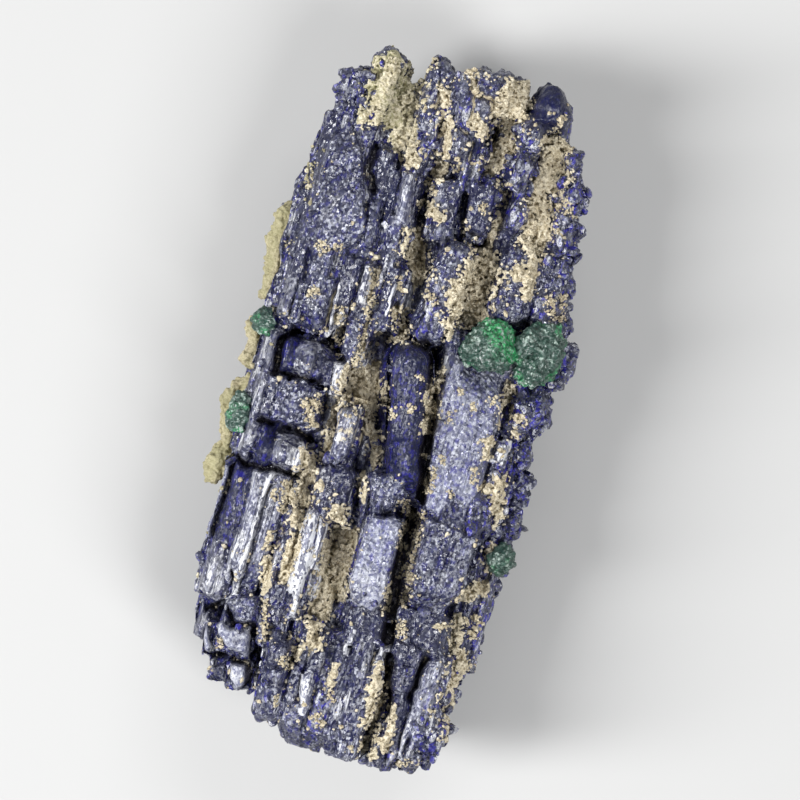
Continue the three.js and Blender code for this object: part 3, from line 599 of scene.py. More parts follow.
# Thin seams and dabs of the same crust, away from the masses.
DABS = [
    (3.5, 17.0, 3.5, 15.8, 0.35, 0.2),
    (-7.9, 9.6, -7.6, 9.3, 0.5, 0.15),
    (-6.8, 9.8, -6.5, 9.7, 0.35, 0.15),
    (-7.7, 6.3, -7.3, 6.2, 0.4, 0.15),
    (-3.7, 8.8, -3.4, 5.6, 0.35, 0.25),
    (-5.3, 5.6, -5.0, 3.4, 0.4, 0.3),
    (0.4, 8.1, 0.8, 7.8, 0.4, 0.2),
    (-3.3, 4.8, -3.3, 2.2, 0.3, 0.25),
    (-0.9, 1.4, -1.0, 0.9, 0.5, 0.15),
    (-0.8, 0.6, 0.1, -0.6, 0.35, 0.15),
    (1.2, 2.6, 1.4, 2.4, 0.3, 0.12),
    (1.2, 0.4, 1.3, 0.1, 0.3, 0.12),
    (-6.0, -1.2, -5.1, -2.6, 0.35, 0.25),
    (-5.4, -0.8, -5.0, -1.6, 0.4, 0.25),
    (3.9, -3.4, 3.9, -5.0, 0.3, 0.25),
    (4.1, 2.5, 4.3, 2.2, 0.25, 0.12),
    (5.3, 1.8, 5.5, 1.4, 0.25, 0.12),
    (6.5, 2.4, 6.6, 2.0, 0.3, 0.12),
    (3.9, 0.6, 4.0, 0.1, 0.25, 0.12),
    (4.2, -2.4, 4.4, -2.8, 0.25, 0.12),
    (6.6, -2.8, 6.8, -3.4, 0.35, 0.15),
    (5.3, -4.6, 5.5, -4.8, 0.25, 0.12),
    (4.0, -6.6, 4.0, -11.2, 0.35, 0.3),
    (3.0, -7.6, 3.0, -9.4, 0.25, 0.25),
    (3.1, -12.0, 3.2, -14.0, 0.3, 0.25),
    (2.4, -6.2, 3.0, -6.8, 0.4, 0.3),
    (4.4, -11.0, 4.3, -13.0, 0.4, 0.3),
    (4.6, -14.4, 4.8, -15.2, 0.5, 0.25),
    (-6.4, -8.0, -6.2, -8.2, 0.4, 0.2),
    (-5.7, -7.0, -5.5, -9.0, 0.4, 0.3),
    (-5.9, -10.7, -5.7, -11.8, 0.35, 0.3),
    (-5.0, -15.4, -4.4, -18.0, 0.35, 0.3),
    (-2.6, -18.9, -2.2, -19.3, 0.5, 0.3),
    (-2.4, -21.6, -2.4, -22.2, 0.3, 0.2),
    (0.6, -22.2, 1.1, -22.7, 0.35, 0.2),
    (1.0, -20.2, 1.4, -20.8, 0.3, 0.2),
    (-7.3, -18.9, -7.2, -19.3, 0.3, 0.3),
    (7.9, -13.6, 7.0, -14.0, 0.3, 0.15),
    (7.1, -24.0, 8.2, -23.6, 0.3, 0.2),
    (9.6, -12.8, 9.8, -14.0, 0.4, 0.25),
    (9.4, 10.6, 9.7, 9.2, 0.4, 0.3),
    (8.6, 10.2, 9.2, 9.2, 0.5, 0.3),
    (8.0, 17.4, 8.6, 16.4, 0.4, 0.25),
    (7.6, 15.0, 8.4, 14.4, 0.3, 0.2),
    (5.9, 22.6, 5.8, 21.4, 0.3, 0.25),
    (-10.1, 14.9, -9.9, 13.4, 0.35, 0.2),
    (-0.3, 17.7, -0.2, 17.3, 0.4, 0.2),
    (-1.7, 16.0, -1.4, 15.2, 0.4, 0.25),
    (1.4, 13.8, 1.6, 13.4, 0.3, 0.15),
    (2.2, 15.2, 2.6, 14.8, 0.3, 0.15),
    (3.0, 16.8, 3.4, 16.2, 0.35, 0.2),
]
# Larger crystals standing on the right edge and the lower corner: x, y and size.
KNOBS = [
    (10.9, 7.2, 0.8),
    (10.4, 5.0, 0.75),
    (9.7, 3.0, 0.85),
    (9.0, 1.0, 0.6),
    (9.9, -0.6, 0.65),
    (9.7, -2.1, 0.6),
    (10.4, -4.2, 0.5),
    (9.4, 17.6, 0.6),
    (9.2, 15.4, 0.7),
    (9.4, 13.4, 0.55),
    (9.9, 11.4, 0.6),
    (7.6, 20.3, 0.55),
    (8.6, 19.0, 0.55),
    (8.9, -21.6, 0.5),
    (8.2, -23.2, 0.45),
]
# What each kind of crystal looks like, mostly from 0 to 1, in the order of LOOKS. The first is a frosted grey
# that is partly painted sheen; the last paints white highlights into the colour.
LOOKS = ("frost_and_sheen", "gloss", "dark", "blue", "lined", "painted_highlight")
KINDS = {
    "f": (0.54, 0.1, 0.0, 0.3, 0.0, 0.0),  # frosted
    "p": (1.3, 0.1, 0.0, 0.45, 0.0, 0.05),  # pale and frosted, the paleness partly painted sheen
    "q": (1.4, 0.1, 0.0, 0.0, 0.0, 0.4),  # palest, with painted sheen and a painted glitter
    "g": (0.35, 1.0, 0.3, 0.2, 0.7, 0.2),  # glossy
    "w": (0.8, 0.9, 0.0, 0.0, 0.6, 1.0),  # glossy, with painted white highlights
    "h": (1.3, 0.9, 0.0, 0.0, 0.0, 0.42),  # pale and glassy, with painted sheen and highlight
    "k": (0.8, 0.5, 0.0, 0.1, 0.8, 0.15),  # pale, lined and half glossy, with painted sheen and a little painted highlight
    "l": (0.47, 0.4, 0.0, 0.2, 1.0, 0.0),  # lined
    "d": (0.16, 0.4, 0.9, 0.45, 0.7, 0.0),  # dark
    "t": (0.32, 0.25, 0.88, 0.4, 1.0, 0.0),  # dark and lined, with round ends
    "s": (0.3, 0.2, 0.6, 0.1, 0.0, 0.0),  # slate
    "b": (0.4, 0.5, 0.3, 1.0, 0.0, 0.05),  # bright blue
    "n": (0.42, 0.2, 0.2, 0.25, 0.0, 0.0),  # plain
}
ROUND_ENDED = "t"
# How far in from its edge a crystal's bevel ends, where that isn't SHOULDER.
SHOULDERS = {"t": 1.2, "f": 0.22, "p": 0.22, "s": 0.22, "n": 0.22, "d": 2.0}
# What the crystal looks like where none of them shows.
PLAIN = (0.36, 0.36, 0.25, 0.5, 0.55, 0.0)
# How much that differs from blade to blade on the flanks.
BLADE_CHANGE = (0.5, 0.4, -0.6, -0.4, 0.7, 0.0)

# Zones of the display side: x, y, half width, half length and strength.
# DRUSY has small crystals and more blue, CALM has flat faces, and DUSTY has powder on it.
DRUSY = [
    (9.8, 0.0, 1.9, 9.0, 1.0),
    (8.9, 16.0, 1.9, 5.0, 1.0),
    (3.4, 18.6, 2.0, 3.0, 0.6),
    (9.2, -20.0, 1.6, 4.5, 0.7),
    (-8.4, 21.5, 1.6, 2.6, 0.7),
]
DARK_CROWN = (5.3, 23.4, 2.6, 2.6, 1.0)
CALM = [
    DARK_CROWN,
    (1.0, 0.4, 2.2, 7.0, 1.0),
    (-6.8, -19.6, 2.6, 2.9, 0.8),
    (-7.6, -10.0, 2.6, 5.0, 0.8),
]
DUSTY = [
    (-7.0, 23.8, 1.7, 1.6, 0.36),
    (-5.6, 21.4, 2.6, 3.0, 0.44),
    (-0.6, 22.4, 2.6, 2.8, 0.28),
    (2.4, 22.6, 1.4, 2.2, 0.5),
    (1.6, 19.6, 3.4, 2.6, 0.24),
    (6.6, 17.2, 1.6, 4.8, 0.45),
    (-1.0, 12.0, 1.6, 4.0, 0.22),
    (6.6, 12.2, 1.6, 2.0, 0.15),
    (-2.4, -11.8, 2.2, 5.0, 0.32),
    (-2.6, 0.2, 1.6, 5.0, 0.4),
    (8.9, -15.5, 1.2, 4.6, 0.3),
    (-4.6, -11.0, 0.9, 5.5, 0.4),
    (8.6, -4.6, 0.8, 5.0, 0.3),
    (-4.0, 4.6, 2.4, 2.2, 0.25),
    (-9.6, 14.0, 0.8, 4.0, 0.3),
]


def zone(points, rows, edge=0.45):
    """How far each point is inside any of the zones, from 0 to 1, over the display side only."""
    wobble = 0.35 * layered(points * 0.9, 301)
    best = np.zeros(len(points))
    for x, y, wide, long, strength in rows:
        away = np.sqrt(((points[:, 0] - x) / wide) ** 2 + ((points[:, 1] - y) / long) ** 2)
        best = np.maximum(best, strength * (1 - smooth(away + wobble, 1 - edge, 1 + edge)))
    return best * smooth(points[:, 2], 5.0, 8.0)


def swayed(points, reach, seed):
    """The points moved about a little, so that edges drawn from them are ragged."""
    wide = np.stack([noise(points * (0.9, 0.45, 0.9), seed + k) for k in range(2)], axis=1)
    fine = np.stack([noise(points * (2.8, 1.8, 2.8), seed + 2 + k) for k in range(2)], axis=1)
    return points[:, :2] + reach * (wide + 0.5 * fine) * (1.0, 2.0)


def along_line(flat, x0, y0, x1, y1):
    """Distance along the line from its start, and across it; and the line's length."""
    start = np.array((x0, y0))
    line = np.array((x1, y1)) - start
    length = np.linalg.norm(line)
    line = line / length
    away = flat - start
    return away @ line, away @ np.array((-line[1], line[0])), length


def capsule(flat, x0, y0, x1, y1, width):
    """How deep inside a round-ended bar each point is, in millimetres; below 0 outside."""
    along, across, length = along_line(flat, x0, y0, x1, y1)
    beyond = np.maximum(np.maximum(-along, along - length), 0)
    return width / 2 - np.hypot(beyond, across)


def lath_height(flat, row, turn):
    """Height of one crystal over its surroundings, and how surely each point is on it."""
    x0, y0, x1, y1, width, rise, kind = row
    along, across, length = along_line(flat, x0, y0, x1, y1)
    steep, other = 0.3 + 1.0 * turn, 0.3 + 1.0 * (turn * 3.7 % 1)
    ends = np.minimum(steep * (along + 0.3), other * (length + 0.3 - along))
    inside = np.minimum(width / 2 - np.abs(across), ends)
    if kind == ROUND_ENDED:
        inside = capsule(flat, x0, y0, x1, y1, width)
    shoulder = min(0.5 * width, SHOULDERS.get(kind, SHOULDER))
    round_off = 1 - (1 - np.clip(inside / shoulder, 0, 1)) ** 2
    lean = (turn - 0.5) * 0.24 * across + (turn * 7 % 1 - 0.5) * 0.06 * (along - length / 2)
    return LATH_RISE * rise * round_off + lean * (inside > 0), smooth(inside, -0.05, 0.1)


def plate_height(flat, row):
    """Height of one flat-topped crystal, and how surely each point is on it."""
    rise, _, lean_x, lean_y, *corners = row
    corners = np.array(corners)
    middle = corners.mean(axis=0)
    ahead = np.roll(corners, -1, axis=0) - corners
    inward = np.stack([-ahead[:, 1], ahead[:, 0]], axis=1)
    inward *= np.sign(np.einsum("ij,ij->i", inward, middle - corners))[:, None]
    inward /= np.linalg.norm(inward, axis=1)[:, None]
    inside = np.min([(flat - corner) @ side for corner, side in zip(corners, inward)], axis=0)
    away = flat - middle
    top = PLATE_RISE * rise + lean_x * away[:, 0] + lean_y * away[:, 1]
    return top * (1 - (1 - np.clip(inside / PLATE_SHOULDER, 0, 1)) ** 2), smooth(inside, -0.05, 0.08)


def columns(points, wide, long, seed):
    """Columns side by side: their height from -1 to 0, with gaps between, and their numbers from 0 to 1."""
    first, second, owner = cellular(points / (wide, long, wide), seed)
    return 0.55 * owner - 1 + 0.45 * smooth(second - first, 0.0, 0.35), owner


def display_relief(points):
    """Height to add on the display face, what each point looks like there, and how deep in a gap it is."""
    flat = swayed(points, 0.16, 201)
    height = 0.42 * columns(points, *FACE_COLUMNS, 211)[0] + 0.12 * layered(points * (1.1, 0.3, 1.1), 221)
    looks = {name: np.full(len(points), value) for name, value in zip(LOOKS, PLAIN)}
    shapes = [(row, *row[:4], row[4], row[6]) for row in LATHS]
    for row in PLATES:
        corners = np.array(row[4:])
        (x0, y0), (x1, y1) = corners.min(axis=0), corners.max(axis=0)
        shapes.append((row, x0, y0, x1, y1, 1.0, row[1]))
    for index, (row, x0, y0, x1, y1, width, kind) in enumerate(shapes):
        reach = math.hypot(x1 - x0, y1 - y0) / 2 + width + 1
        near = np.nonzero(np.hypot(flat[:, 0] - (x0 + x1) / 2, flat[:, 1] - (y0 + y1) / 2) < reach)[0]
        if index < len(LATHS):
            rise, on = lath_height(flat[near], row, index * GOLDEN % 1)
        else:
            rise, on = plate_height(flat[near], row)
        level = on * (rise + 0.06) + (1 - on) * height[near]
        chosen = near[(on > 0.5) & (rise + 0.06 > height[near])]
        height[near] = np.where(on > 0.02, np.maximum(height[near], level), height[near])
        for name, value in zip(LOOKS, KINDS[kind]):
            looks[name][chosen] = value
    gap = np.zeros(len(points))
    for width, depth, *route in GAPS:
        for (x0, y0), (x1, y1) in zip(route, route[1:]):
            gap = np.maximum(gap, depth * smooth(capsule(flat, x0, y0, x1, y1, width), -0.15, 0.25))
    return height - gap, looks, gap


def laid_crust(points):
    """How thick the crust lies over each point of the display face."""
    flat = swayed(points, 0.3, 231)
    cover = np.zeros(len(points))
    for row in DABS:
        cover = np.maximum(cover, 0.6 * smooth(capsule(flat, *row[:4], row[4] + 0.4), -0.1, 0.35))
    for row in itertools.chain(*MASSES.values()):
        cover = np.maximum(cover, smooth(capsule(flat, *row[:4], 1.15 * row[4] + 0.35), -0.15, 0.35))
    return cover


# ---------------------------------------------------------------- the crystal's surface


def evened(mesh):
    """Evens out the display face. Returns the first points, the new ones, and 1 on that face to 0 off it."""
    raw = positions(mesh)
    even = spread(raw, edges(mesh), EVEN_ROUNDS)
    place(mesh, even)
    upward = smooth(spread(normals(mesh), edges(mesh), 6)[:, 2], 0.1, 0.5) * smooth(raw[:, 2], 6.0, 8.5)
    points = raw + (even - raw) * (0.95 * upward)[:, None]
    place(mesh, points)
    return raw, points, upward


def fine_detail(points, gloss):
    """Roughness, terraces and lengthwise grooves of every face, in millimetres, less where it is glossy."""
    fine = 0.045 * layered(points * (2.4, 1.2, 2.4), 41) + 0.025 * noise(points * 5.2, 47)
    terrace = layered(points * (0.5, 0.22, 0.5), 49) * 5
    fine += 0.07 * (np.floor(terrace) + smooth(terrace - np.floor(terrace), 0.75, 1.0)) / 5
    groove = 1 - np.abs(noise(points * (2.6, 0.12, 2.6), 31))
    return fine * (1 - 0.6 * gloss) - 0.09 * smooth(groove, 0.75, 1.0)


def zone_looks(points, looks, drusy):
    """Changes the looks of the drusy zones, and of the crown's dark crystal with its blue rim."""
    glassy = zone(points, [DARK_CROWN])
    rim = smooth(points[:, 0], 6.2, 7.0)
    dark = np.maximum(looks["dark"], glassy * (1 - 0.6 * rim))
    blue = looks["blue"] * (1 - glassy) + glassy * rim
    looks["gloss"] = np.maximum(looks["gloss"], 0.9 * glassy)
    looks["dark"] = np.maximum(dark, 0.65 * drusy)
    looks["blue"] = np.maximum(blue, drusy)
    looks["frost_and_sheen"] = looks["frost_and_sheen"] * (1 - 0.8 * glassy) * (1 - 0.35 * drusy)


def crystal():
    """Makes the crystal's pieces. Returns their surface: mesh, points, normals, hollows, cover and druse."""
    mesh = remeshed("azurite_crystal", CRYSTAL_VOXEL)
    raw, points, upward = evened(mesh)
    facing = normals(mesh)
    free = smooth(raw[:, 2], 0.02, 0.5)

    # The display face: its crystals, frosted grit and laid crust.
    relief, looks, gap = display_relief(points)
    fine = fine_detail(points, looks["gloss"])
    cover = laid_crust(points)
    grit, _, _ = cellular(points / GRIT, 71)
    frosty = smooth(looks["frost_and_sheen"], 0.45, 0.6) * (1 - looks["gloss"])
    fine += 0.19 * (0.5 - grit) * frosty
    top = upward * (relief + fine + smooth(cover, 0.5, 1.0) * (0.16 + 0.3 * (0.5 - grit)))

    # The flanks and the underside: blades, and lumps in the drusy zones.
    blades, number = columns(points, *BROAD_BLADES, 61)
    side = 0.95 * blades + 0.3 * columns(points, *FINE_BLADES, 67)[0] + 0.5 + fine
    calm = zone(points, CALM)
    drusy = zone(points, DRUSY) * (1 - calm)
    lump, _, _ = cellular(points / 1.1, 43)
    side += drusy * 0.7 * (0.5 - lump)
    side *= 1 - 0.75 * calm
    bend = np.stack([layered(points * (0.6, 0.35, 0.6), 81 + 7 * k) for k in range(3)], axis=1)
    moved = points + (free * (1 - upward))[:, None] * (facing * side[:, None] + 0.18 * bend)
    under = smooth(-facing[:, 2], 0.4, 0.9) * (1 - smooth(raw[:, 2], 0.3, 1.5))
    moved[:, 2] += free * top - under * 0.55 * blades
    moved[:, 2] = np.maximum(moved[:, 2], 0.0)
    place(mesh, moved)

    # What the materials read.
    seen = smooth(raw[:, 2], 5.5, 8.0)
    zone_looks(points, looks, drusy)
    for name, plain, change in zip(LOOKS, PLAIN, BLADE_CHANGE):
        plain = plain + change * (number - 0.5)
        store(mesh, name, plain + (looks[name] - plain) * seen)
    # The gap depth also darkens the colour there: painted shade.
    store(mesh, "gap", gap * upward)
    cover = cover * upward
    hollow = hollow_depth(mesh)
    loose = layered(points * 0.7, 91)
    dusty = np.maximum(zone(points, DUSTY), 0.75 * beside_edge_crust(points, 0.4, 1.9))
    settled = 0.5 * smooth(hollow, 0.04, 0.35) * (0.6 + loose) * (1 - calm)
    store(mesh, "dust", np.clip(np.maximum(1.1 * cover**2, dusty) + settled + 0.12 * loose, 0, 1))
    store(mesh, "olive", olive(moved))
    crystal_pieces(mesh)
    return mesh, moved, normals(mesh), hollow, np.maximum(cover, dusty), drusy


def crystal_pieces(mesh):
    """Cuts the crystal in three, because one piece of it would have too many triangles."""
    display = part(mesh, (0, 0, 1), SPLIT)
    cuts = {
        "azurite_upper_blades": (part(display, (0, 1, 0), 0.0), DISPLAY_FACES),
        "azurite_lower_blades": (part(display, (0, -1, 0), 0.0), DISPLAY_FACES),
        "azurite_under_blades": (part(mesh, (0, 0, -1), -SPLIT), UNDER_FACES),
    }
    for name, (cut, faces) in cuts.items():
        piece = thinned(cut, faces)
        shiny = fetch(piece, "gloss")[corner_of_faces(piece)] > GLASSY
        finished(piece, name, AZURITE_LOOK, ["azurite_crystal"], shiny=shiny)


def beside_edge_crust(points, near, far):
    """How close each point is to the crust on the left flank: 1 nearer than near, 0 beyond far."""
    gap = np.full(len(points), 99.0)
    for name in CRUSTS:
        if name not in MASSES:
            body = positions(NODES[name].data) / MM
            start, end = body[body[:, 1].argmin()], body[body[:, 1].argmax()]
            share = np.clip((points - start) @ (end - start) / ((end - start) @ (end - start)), 0, 1)
            gap = np.minimum(gap, np.linalg.norm(points - start - share[:, None] * (end - start), axis=1))
    return 1 - smooth(gap, near, far)


def olive(points):
    """How much greener than elsewhere the crust is: at the left of the crown and on the left flank."""
    left = -points[:, 0]
    return np.maximum(smooth(left, 2.5, 5.5) * smooth(points[:, 1], 15.0, 20.0), 0.8 * smooth(left, 8.6, 9.6))


def part(mesh, facing, level):
    """The part of a closed mesh beyond a plane, closed again across the cut."""
    bm = bmesh.new()
    bm.from_mesh(mesh)
    everything = bm.verts[:] + bm.edges[:] + bm.faces[:]
    plane = Vector(facing)
    bmesh.ops.bisect_plane(bm, geom=everything, plane_co=plane * level, plane_no=plane, clear_inner=True)
    rim = [edge for edge in bm.edges if edge.is_boundary]
    bmesh.ops.triangle_fill(bm, edges=rim, use_beauty=True, normal=-plane)
    cut = bpy.data.meshes.new("part")
    bm.to_mesh(cut)
    bm.free()
    return cut


def fetch(mesh, name):
    values = np.empty(len(mesh.vertices), dtype=np.float32)
    mesh.attributes[name].data.foreach_get("value", values)
    return values


def corner_of_faces(mesh):
    """One vertex of each face."""
    starts = np.empty(len(mesh.polygons), dtype=np.int32)
    mesh.polygons.foreach_get("loop_start", starts)
    corners = np.empty(len(mesh.loops), dtype=np.int32)
    mesh.loops.foreach_get("vertex_index", corners)
    return corners[starts]


def hollow_depth(mesh):
    """How far each vertex lies below the smoothed surface around it, in millimetres."""
    points = positions(mesh)
    blurred = spread(points, edges(mesh), HOLLOW_ROUNDS)
    return np.einsum("ij,ij->i", blurred - points, normals(mesh))


# ---------------------------------------------------------------- materials


class Nodes:
    """Short names for building one material's node tree."""

    def __init__(self, name):
        self.material = bpy.data.materials.new(name)
        self.material.use_nodes = True
        self.tree = self.material.node_tree
        self.shader = self.tree.nodes["Principled BSDF"]

    def link(self, socket, value):
        if isinstance(value, bpy.types.NodeSocket):
            self.tree.links.new(value, socket)
        else:
            socket.default_value = value

    def add(self, kind, **inputs):
        node = self.tree.nodes.new(kind)
        for name, value in inputs.items():
            self.link(node.inputs[name.replace("_", " ")], value)
        return node

    def attribute(self, name):
        node = self.tree.nodes.new("ShaderNodeAttribute")
        node.attribute_name = name
        return node.outputs["Fac"]

    def place(self, scale):
        """Object coordinates in millimetres, times scale."""
        coords = self.tree.nodes.new("ShaderNodeTexCoord").outputs["Object"]
        mapping = self.tree.nodes.new("ShaderNodeMapping")
        self.link(mapping.inputs["Vector"], coords)
        mapping.inputs["Scale"].default_value = [1000 * s for s in scale]
        return mapping.outputs["Vector"]

    def noise(self, scale, detail=3.0, rough=0.6):
        vector = self.place(scale)
        node = self.add("ShaderNodeTexNoise", Vector=vector, Scale=1.0, Detail=detail, Roughness=rough)
        return node.outputs["Fac"]

    def cells(self, scale):
        """A random colour for each cell, and its three channels."""
        colour = self.add("ShaderNodeTexVoronoi", Vector=self.place(scale), Scale=1.0).outputs["Color"]
        return colour, *self.add("ShaderNodeSeparateColor", Color=colour).outputs

    def ramp(self, value, start, end, low_value=0.0, high_value=1.0):
        node = self.tree.nodes.new("ShaderNodeMapRange")
        node.interpolation_type = "SMOOTHSTEP"
        names = ("Value", "From Min", "From Max", "To Min", "To Max")
        for name, number in zip(names, (value, start, end, low_value, high_value)):
            self.link(node.inputs[name], number)
        return node.outputs["Result"]

    def math(self, operation, a, b=0.0):
        node = self.tree.nodes.new("ShaderNodeMath")
        node.operation = operation
        self.link(node.inputs[0], a)
        self.link(node.inputs[1], b)
        return node.outputs[0]

    def times(self, a, b):
        return self.math("MULTIPLY", a, b)

    def plus(self, a, b):
        return self.math("ADD", a, b)

    def vector(self, operation, a, b=None, slot=1):
        node = self.tree.nodes.new("ShaderNodeVectorMath")
        node.operation = operation
        self.link(node.inputs[0], a)
        if b is not None:
            self.link(node.inputs[slot], b)
        return node.outputs[0]

    def mix(self, factor, a, b):
        node = self.tree.nodes.new("ShaderNodeMix")
        node.data_type = "RGBA"
        for index, value in zip((0, 6, 7), (factor, a, b)):
            self.link(node.inputs[index], value if not isinstance(value, tuple) else (*value, 1.0))
        return node.outputs[2]

    def tilted(self, colour, amount, base=None):
        """The normal tilted at random from cell to cell, by amount."""
        centred = self.vector("SUBTRACT", colour, (0.5, 0.5, 0.5))
        scaled = self.vector("SCALE", centred, amount, slot="Scale")
        if base is None:
            base = self.tree.nodes.new("ShaderNodeNewGeometry").outputs["Normal"]
        return self.vector("NORMALIZE", self.vector("ADD", base, scaled))

    def bump(self, height, distance, strength=1.0):
        node = self.add("ShaderNodeBump", Height=height, Distance=distance * MM, Strength=strength)
        return node.outputs["Normal"]

    def done(self, **inputs):
        for name, value in inputs.items():
            socket = self.shader.inputs[name.replace("_", " ")]
            self.link(socket, (*value, 1.0) if isinstance(value, tuple) and len(value) == 3 else value)
        return self.material


DEEP = (0.008, 0.009, 0.036)
INK = (0.010, 0.012, 0.040)
SLATE = (0.024, 0.028, 0.070)
ULTRAMARINE = (0.022, 0.018, 0.28)
# A frosted grey that partly stands for painted sheen.
FROST_AND_SHEEN = (0.135, 0.142, 0.230)
# Painted glints.
GLINT_PALE = (0.50, 0.52, 0.60)
# Painted highlights.
HIGHLIGHT_WHITE = (0.80, 0.81, 0.84)
# Painted shade for the deep gaps.
SHADE = (0.012, 0.010, 0.016)
EARTH = (0.65, 0.575, 0.41)
EARTH_PALE = (0.80, 0.73, 0.57)
# Partly the earth's own darker brown, partly painted shade in its pores.
EARTH_DARK_AND_SHADE = (0.22, 0.17, 0.105)
EARTH_GREEN = (0.31, 0.30, 0.155)
GREEN = (0.012, 0.27, 0.075)
GREEN_DEEP = (0.008, 0.032, 0.022)
GREEN_GREY = (0.045, 0.100, 0.078)
# Painted glints on the malachite.
GREEN_GLINT = (0.36, 0.46, 0.40)


def azurite_material():
    """Slate to ultramarine, with frosted grey that is partly painted sheen, painted glints, painted dashes of
    light and highlight streaks, painted shade in the gaps and tan powder by LOOKS.
    """
    n = Nodes("azurite")
    frost_and_sheen, gloss, dark, blue, lined, painted_highlight = [n.attribute(name) for name in LOOKS]
    dust, gap = n.attribute("dust"), n.attribute("gap")
    patch = n.noise((0.6, 0.3, 0.6), 3.0)
    speck = n.noise((4.6, 3.4, 4.6), 4.0, 0.85)
    lines = n.noise((8.0, 0.16, 8.0), 3.0, 0.7)
    sugar, sparkle, uneven, _ = n.cells((5.8, 4.8, 5.8))
    colour = n.mix(n.ramp(n.noise((1.6, 0.9, 1.6), 3.0), 0.45, 0.65), DEEP, SLATE)
    bright = n.ramp(n.noise((2.6, 1.8, 2.6), 3.0, 0.7), 0.52, 0.60)
    # Frosted grey: partly the frosted faces' own colour, partly painted sheen.
    frosted_sheen = n.times(frost_and_sheen, n.ramp(patch, 0.3, 0.65, 0.5, 1.2))
    grain = n.mix(lined, speck, n.ramp(lines, 0.3, 0.7, 0.2, 0.8))
    grey = n.times(n.ramp(n.plus(grain, n.times(frosted_sheen, 0.4)), 0.6, 1.0), frosted_sheen)
    colour = n.mix(grey, colour, FROST_AND_SHEEN)
    # Painted glints: pale specks from the cells, thicker where the frosted grey is strong.
    glint = n.plus(sparkle, n.times(frosted_sheen, 0.42))
    colour = n.mix(n.times(n.ramp(glint, 0.82, 1.25), n.ramp(grain, 0.35, 0.6)), colour, GLINT_PALE)
    colour = n.mix(n.ramp(dark, 0.3, 1.0, 0.0, 0.75), colour, INK)
    colour = n.mix(n.times(bright, n.ramp(blue, 0.0, 1.0, 0.08, 1.0)), colour, ULTRAMARINE)
    _, facet, other_facet, _ = n.cells((2.6, 0.8, 2.6))
    # Painted highlights: short dashes of light on glossy faces, none on dark ones.
    dash = n.times(n.ramp(facet, 0.88, 0.96), n.ramp(gloss, 0.05, 0.5, 0.12, 0.85))
    dash = n.times(dash, n.ramp(dark, 0.5, 0.9, 1.0, 0.0))
    colour = n.mix(n.times(dash, n.ramp(grain, 0.4, 0.6)), colour, HIGHLIGHT_WHITE)
    # Painted highlight streaks and flecks on the glossy white crystals, as strong as the last of LOOKS says.
    fleck = n.plus(n.times(lines, 0.35), n.times(sparkle, 0.3))
    fleck = n.plus(fleck, n.times(other_facet, 0.35))
    colour = n.mix(n.times(painted_highlight, n.ramp(fleck, 0.46, 0.62, 0.05, 0.9)), colour, HIGHLIGHT_WHITE)
    # Painted shade in the deep gaps.
    colour = n.mix(n.ramp(gap, 0.2, 0.9, 0.0, 0.9), colour, SHADE)
    loose = n.plus(dust, n.times(n.noise((2.6, 2.6, 2.6), 5.0, 0.75), 0.9))
    powder = n.ramp(loose, 0.88, 1.02)
    # Darker specks of the powder: partly its own darker grains, partly painted shade in its pores.
    sand = n.mix(n.ramp(n.noise((5.5, 5.5, 5.5), 4.0, 0.75), 0.32, 0.56), EARTH_DARK_AND_SHADE, EARTH)
    greener = n.times(n.attribute("olive"), n.ramp(patch, 0.35, 0.6, 0.3, 0.9))
    sand = n.mix(greener, sand, EARTH_GREEN)
    colour = n.mix(powder, colour, sand)
    calm = n.times(n.ramp(gloss, 0.0, 1.0, 1.0, 0.1), n.ramp(dark, 0.5, 1.0, 1.0, 0.45))
    calm = n.math("MAXIMUM", calm, n.times(powder, 0.7))
    amount = n.plus(0.06, n.times(calm, 0.9))
    normal = n.tilted(sugar, amount, n.bump(lines, 0.09, 0.7))
    rough = n.ramp(uneven, 0.0, 1.0, 0.14, 0.45)
    rough = n.plus(rough, n.times(powder, 0.5))
    level = n.ramp(dark, 0.5, 1.0, 0.5, 0.16)
    return n.done(Base_Color=colour, Roughness=rough, Normal=normal, IOR=1.75, Specular_IOR_Level=level)


def crust_material():
    """Granular earth: tan, with darker brown specks that are partly its own darker grains and partly painted
    shade in its pores, paler by tone, and greener where olive says so.
    """
    n = Nodes("crust")
    tone = n.attribute("tone")
    fine = n.noise((5.5, 5.5, 5.5), 4.0, 0.75)
    # Darker specks: partly the earth's own darker grains, partly painted shade in its pores.
    colour = n.mix(n.ramp(fine, 0.3, 0.62), EARTH_DARK_AND_SHADE, EARTH)
    patch = n.ramp(n.noise((0.6, 0.3, 0.6), 3.0), 0.35, 0.6, 0.35, 0.85)
    colour = n.mix(n.times(n.attribute("olive"), patch), colour, EARTH_GREEN)
    colour = n.mix(n.times(n.ramp(tone, 0.4, 1.0), n.ramp(fine, 0.35, 0.6)), colour, EARTH_PALE)
    normal = n.bump(n.noise((10.0, 10.0, 10.0), 3.0, 0.7), 0.06, 0.9)
    return n.done(Base_Color=colour, Roughness=0.93, Normal=normal, IOR=1.4)


